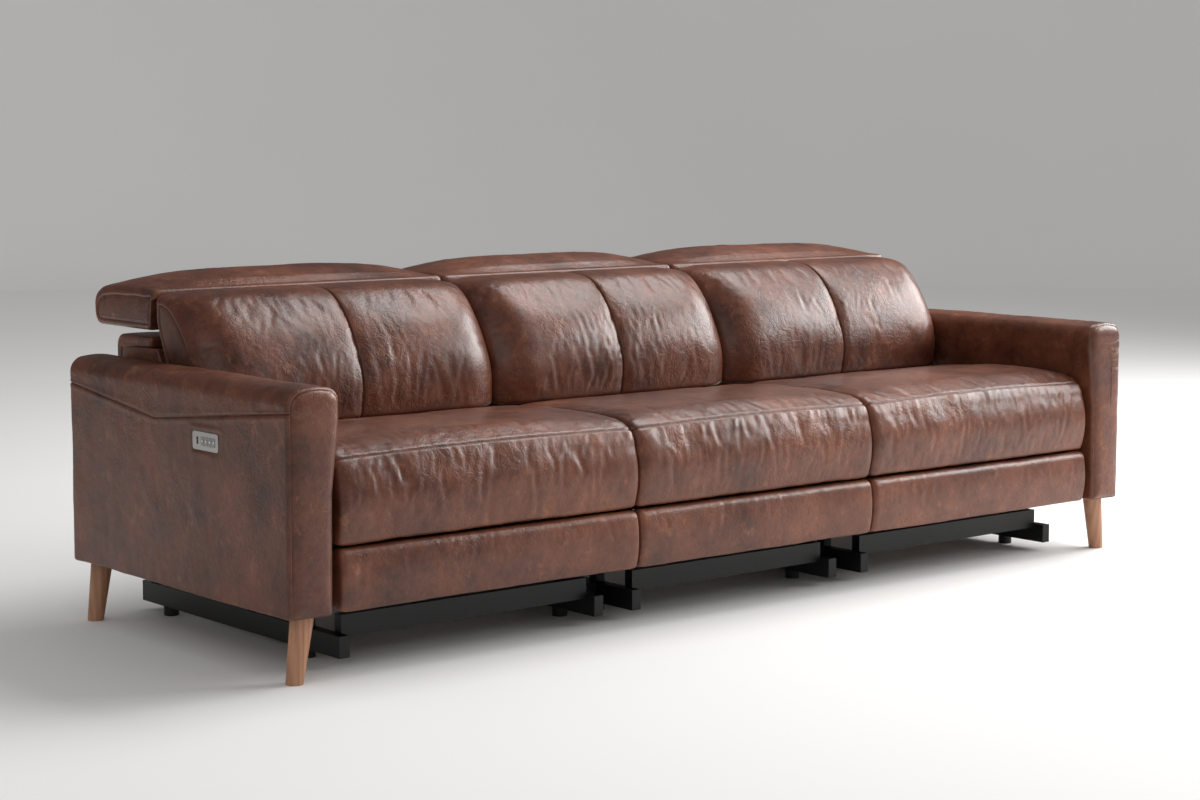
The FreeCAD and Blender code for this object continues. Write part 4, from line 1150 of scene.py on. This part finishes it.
MARK = glowing_mark()
# Near-black finish for the sheet of painted shade behind each seat's front gap.
SHADE_SHEET = coated("black_gap_shade_sheet", srgb(12, 12, 12), srgb(20, 20, 20), 0.8, 700.0)
TONGUE = coated("tongue_plastic", srgb(196, 196, 194), srgb(214, 214, 212), 0.4)
black_steel = coated("black_frame_paint", srgb(8, 8, 9), srgb(15, 15, 16), 0.42, 500.0)
bare_steel = metal("zinc_steel", srgb(150, 152, 156), srgb(182, 184, 188), 0.34)
rod_steel = metal("ground_steel", srgb(178, 180, 184), srgb(206, 208, 212), 0.2)
plate_metal = metal("brushed_plate", srgb(168, 166, 163), srgb(204, 202, 199), 0.24)
key_metal = metal("key_metal", srgb(146, 144, 141), srgb(176, 174, 171), 0.30)
black_plastic = coated("black_plastic", srgb(18, 18, 19), srgb(32, 32, 34), 0.45)
wood = leg_wood()
board = plywood()
strap = webbing()

camera()
for name, seed in zip(SEATS, (20, 60, 100)):
    seat_cushion(name, seed)
    back_cushion(name, seed + 10, {"left": 46, "middle": 90, "right": 34}[name])
    headrest(name, seed + 20)
    footrest(name, seed + 28)
    # Hangs the black sheet of painted shade behind this seat's front gap.
    hang_shade_sheet(name)
    shell(name, seed + 34)
    dress(board, f"seat_frame_{name}")
    dress(strap, f"seat_webbing_{name}")
    dress(black_steel, f"seat_runners_{name}", f"back_frame_{name}", f"rear_links_{name}",
          f"front_links_{name}", f"headrest_bracket_{name}", f"footrest_plate_{name}")
    dress(rod_steel, f"drive_rod_{name}")
for side, seed in (("left", 300), ("right", 340)):
    arm(side, seed)
    port_tongue(side)
    for number in range(1, 5):
        key_mark(side, number)
        dress(key_metal, f"button_{side}_{number}")
        eased(f"button_{side}_{number}", 0.25 * MM)
dress(board, "arm_frames")
dress(plate_metal, "control_plates")
dress(black_plastic, "usb_ports", "feet", "drive_housings")
dress(wood, "legs")
dress(black_steel, "floor_frames")
dress(bare_steel, "slide_tracks")
eased("control_plates", 0.45 * MM)
eased("floor_frames", 1.2 * MM)
eased("drive_housings", 2 * MM)


def studio():
    """A round pale floor whose rim curves up into a backdrop, three lamps and a dim sky."""
    finish = floor_paint()
    profile = [(0.0, 0.0), (4.0, 0.0), (9.5, 0.0)]
    curve_from, radius, steps = 11.0, 3.0, 10
    for k in range(steps + 1):
        angle = math.pi / 2 * k / steps
        profile.append((curve_from + radius * math.sin(angle), radius * (1 - math.cos(angle))))
    profile.append((curve_from + radius, 9.0))
    around = 96
    floor_rings = 4
    for name, part in (("floor", profile[:floor_rings]), ("backdrop", profile[floor_rings - 1:])):
        points = []
        for distance, height in part:
            for k in range(around):
                angle = 2 * math.pi * k / around
                points.append((distance * math.cos(angle), distance * math.sin(angle), height))
        piece = mesh_piece(name, points, ring_faces(len(part), around), finish)
        if name == "backdrop":
            piece.visible_shadow = False
            piece.visible_diffuse = False
            piece.visible_glossy = False
    sky = bpy.data.worlds.new("soft_sky")
    sky.use_nodes = True
    sky.node_tree.nodes["Background"].inputs["Color"].default_value = (1, 1, 1, 1)
    tree = sky.node_tree
    rays = tree.nodes.new("ShaderNodeLightPath")
    glow = tree.nodes.new("ShaderNodeMapRange")
    glow.inputs["To Min"].default_value = 0.46
    glow.inputs["To Max"].default_value = 0.11
    tree.links.new(rays.outputs["Is Glossy Ray"], glow.inputs["Value"])
    tree.links.new(glow.outputs[0], tree.nodes["Background"].inputs["Strength"])
    bpy.context.scene.world = sky
    softbox("key_light", (4.7, -1.5, 2.7), (0.2, -0.2, 0.5), 4.6, 2.2, 320)
    softbox("top_light", (2.4, -0.1, 4.3), (0.3, -0.2, 0.4), 3.0, 2.0, 125)
    softbox("fill_light", (-4.2, -3.0, 3.0), (-0.4, -0.3, 0.4), 3.0, 2.4, 22)


studio()
bpy.context.scene.view_settings.view_transform = "Standard"
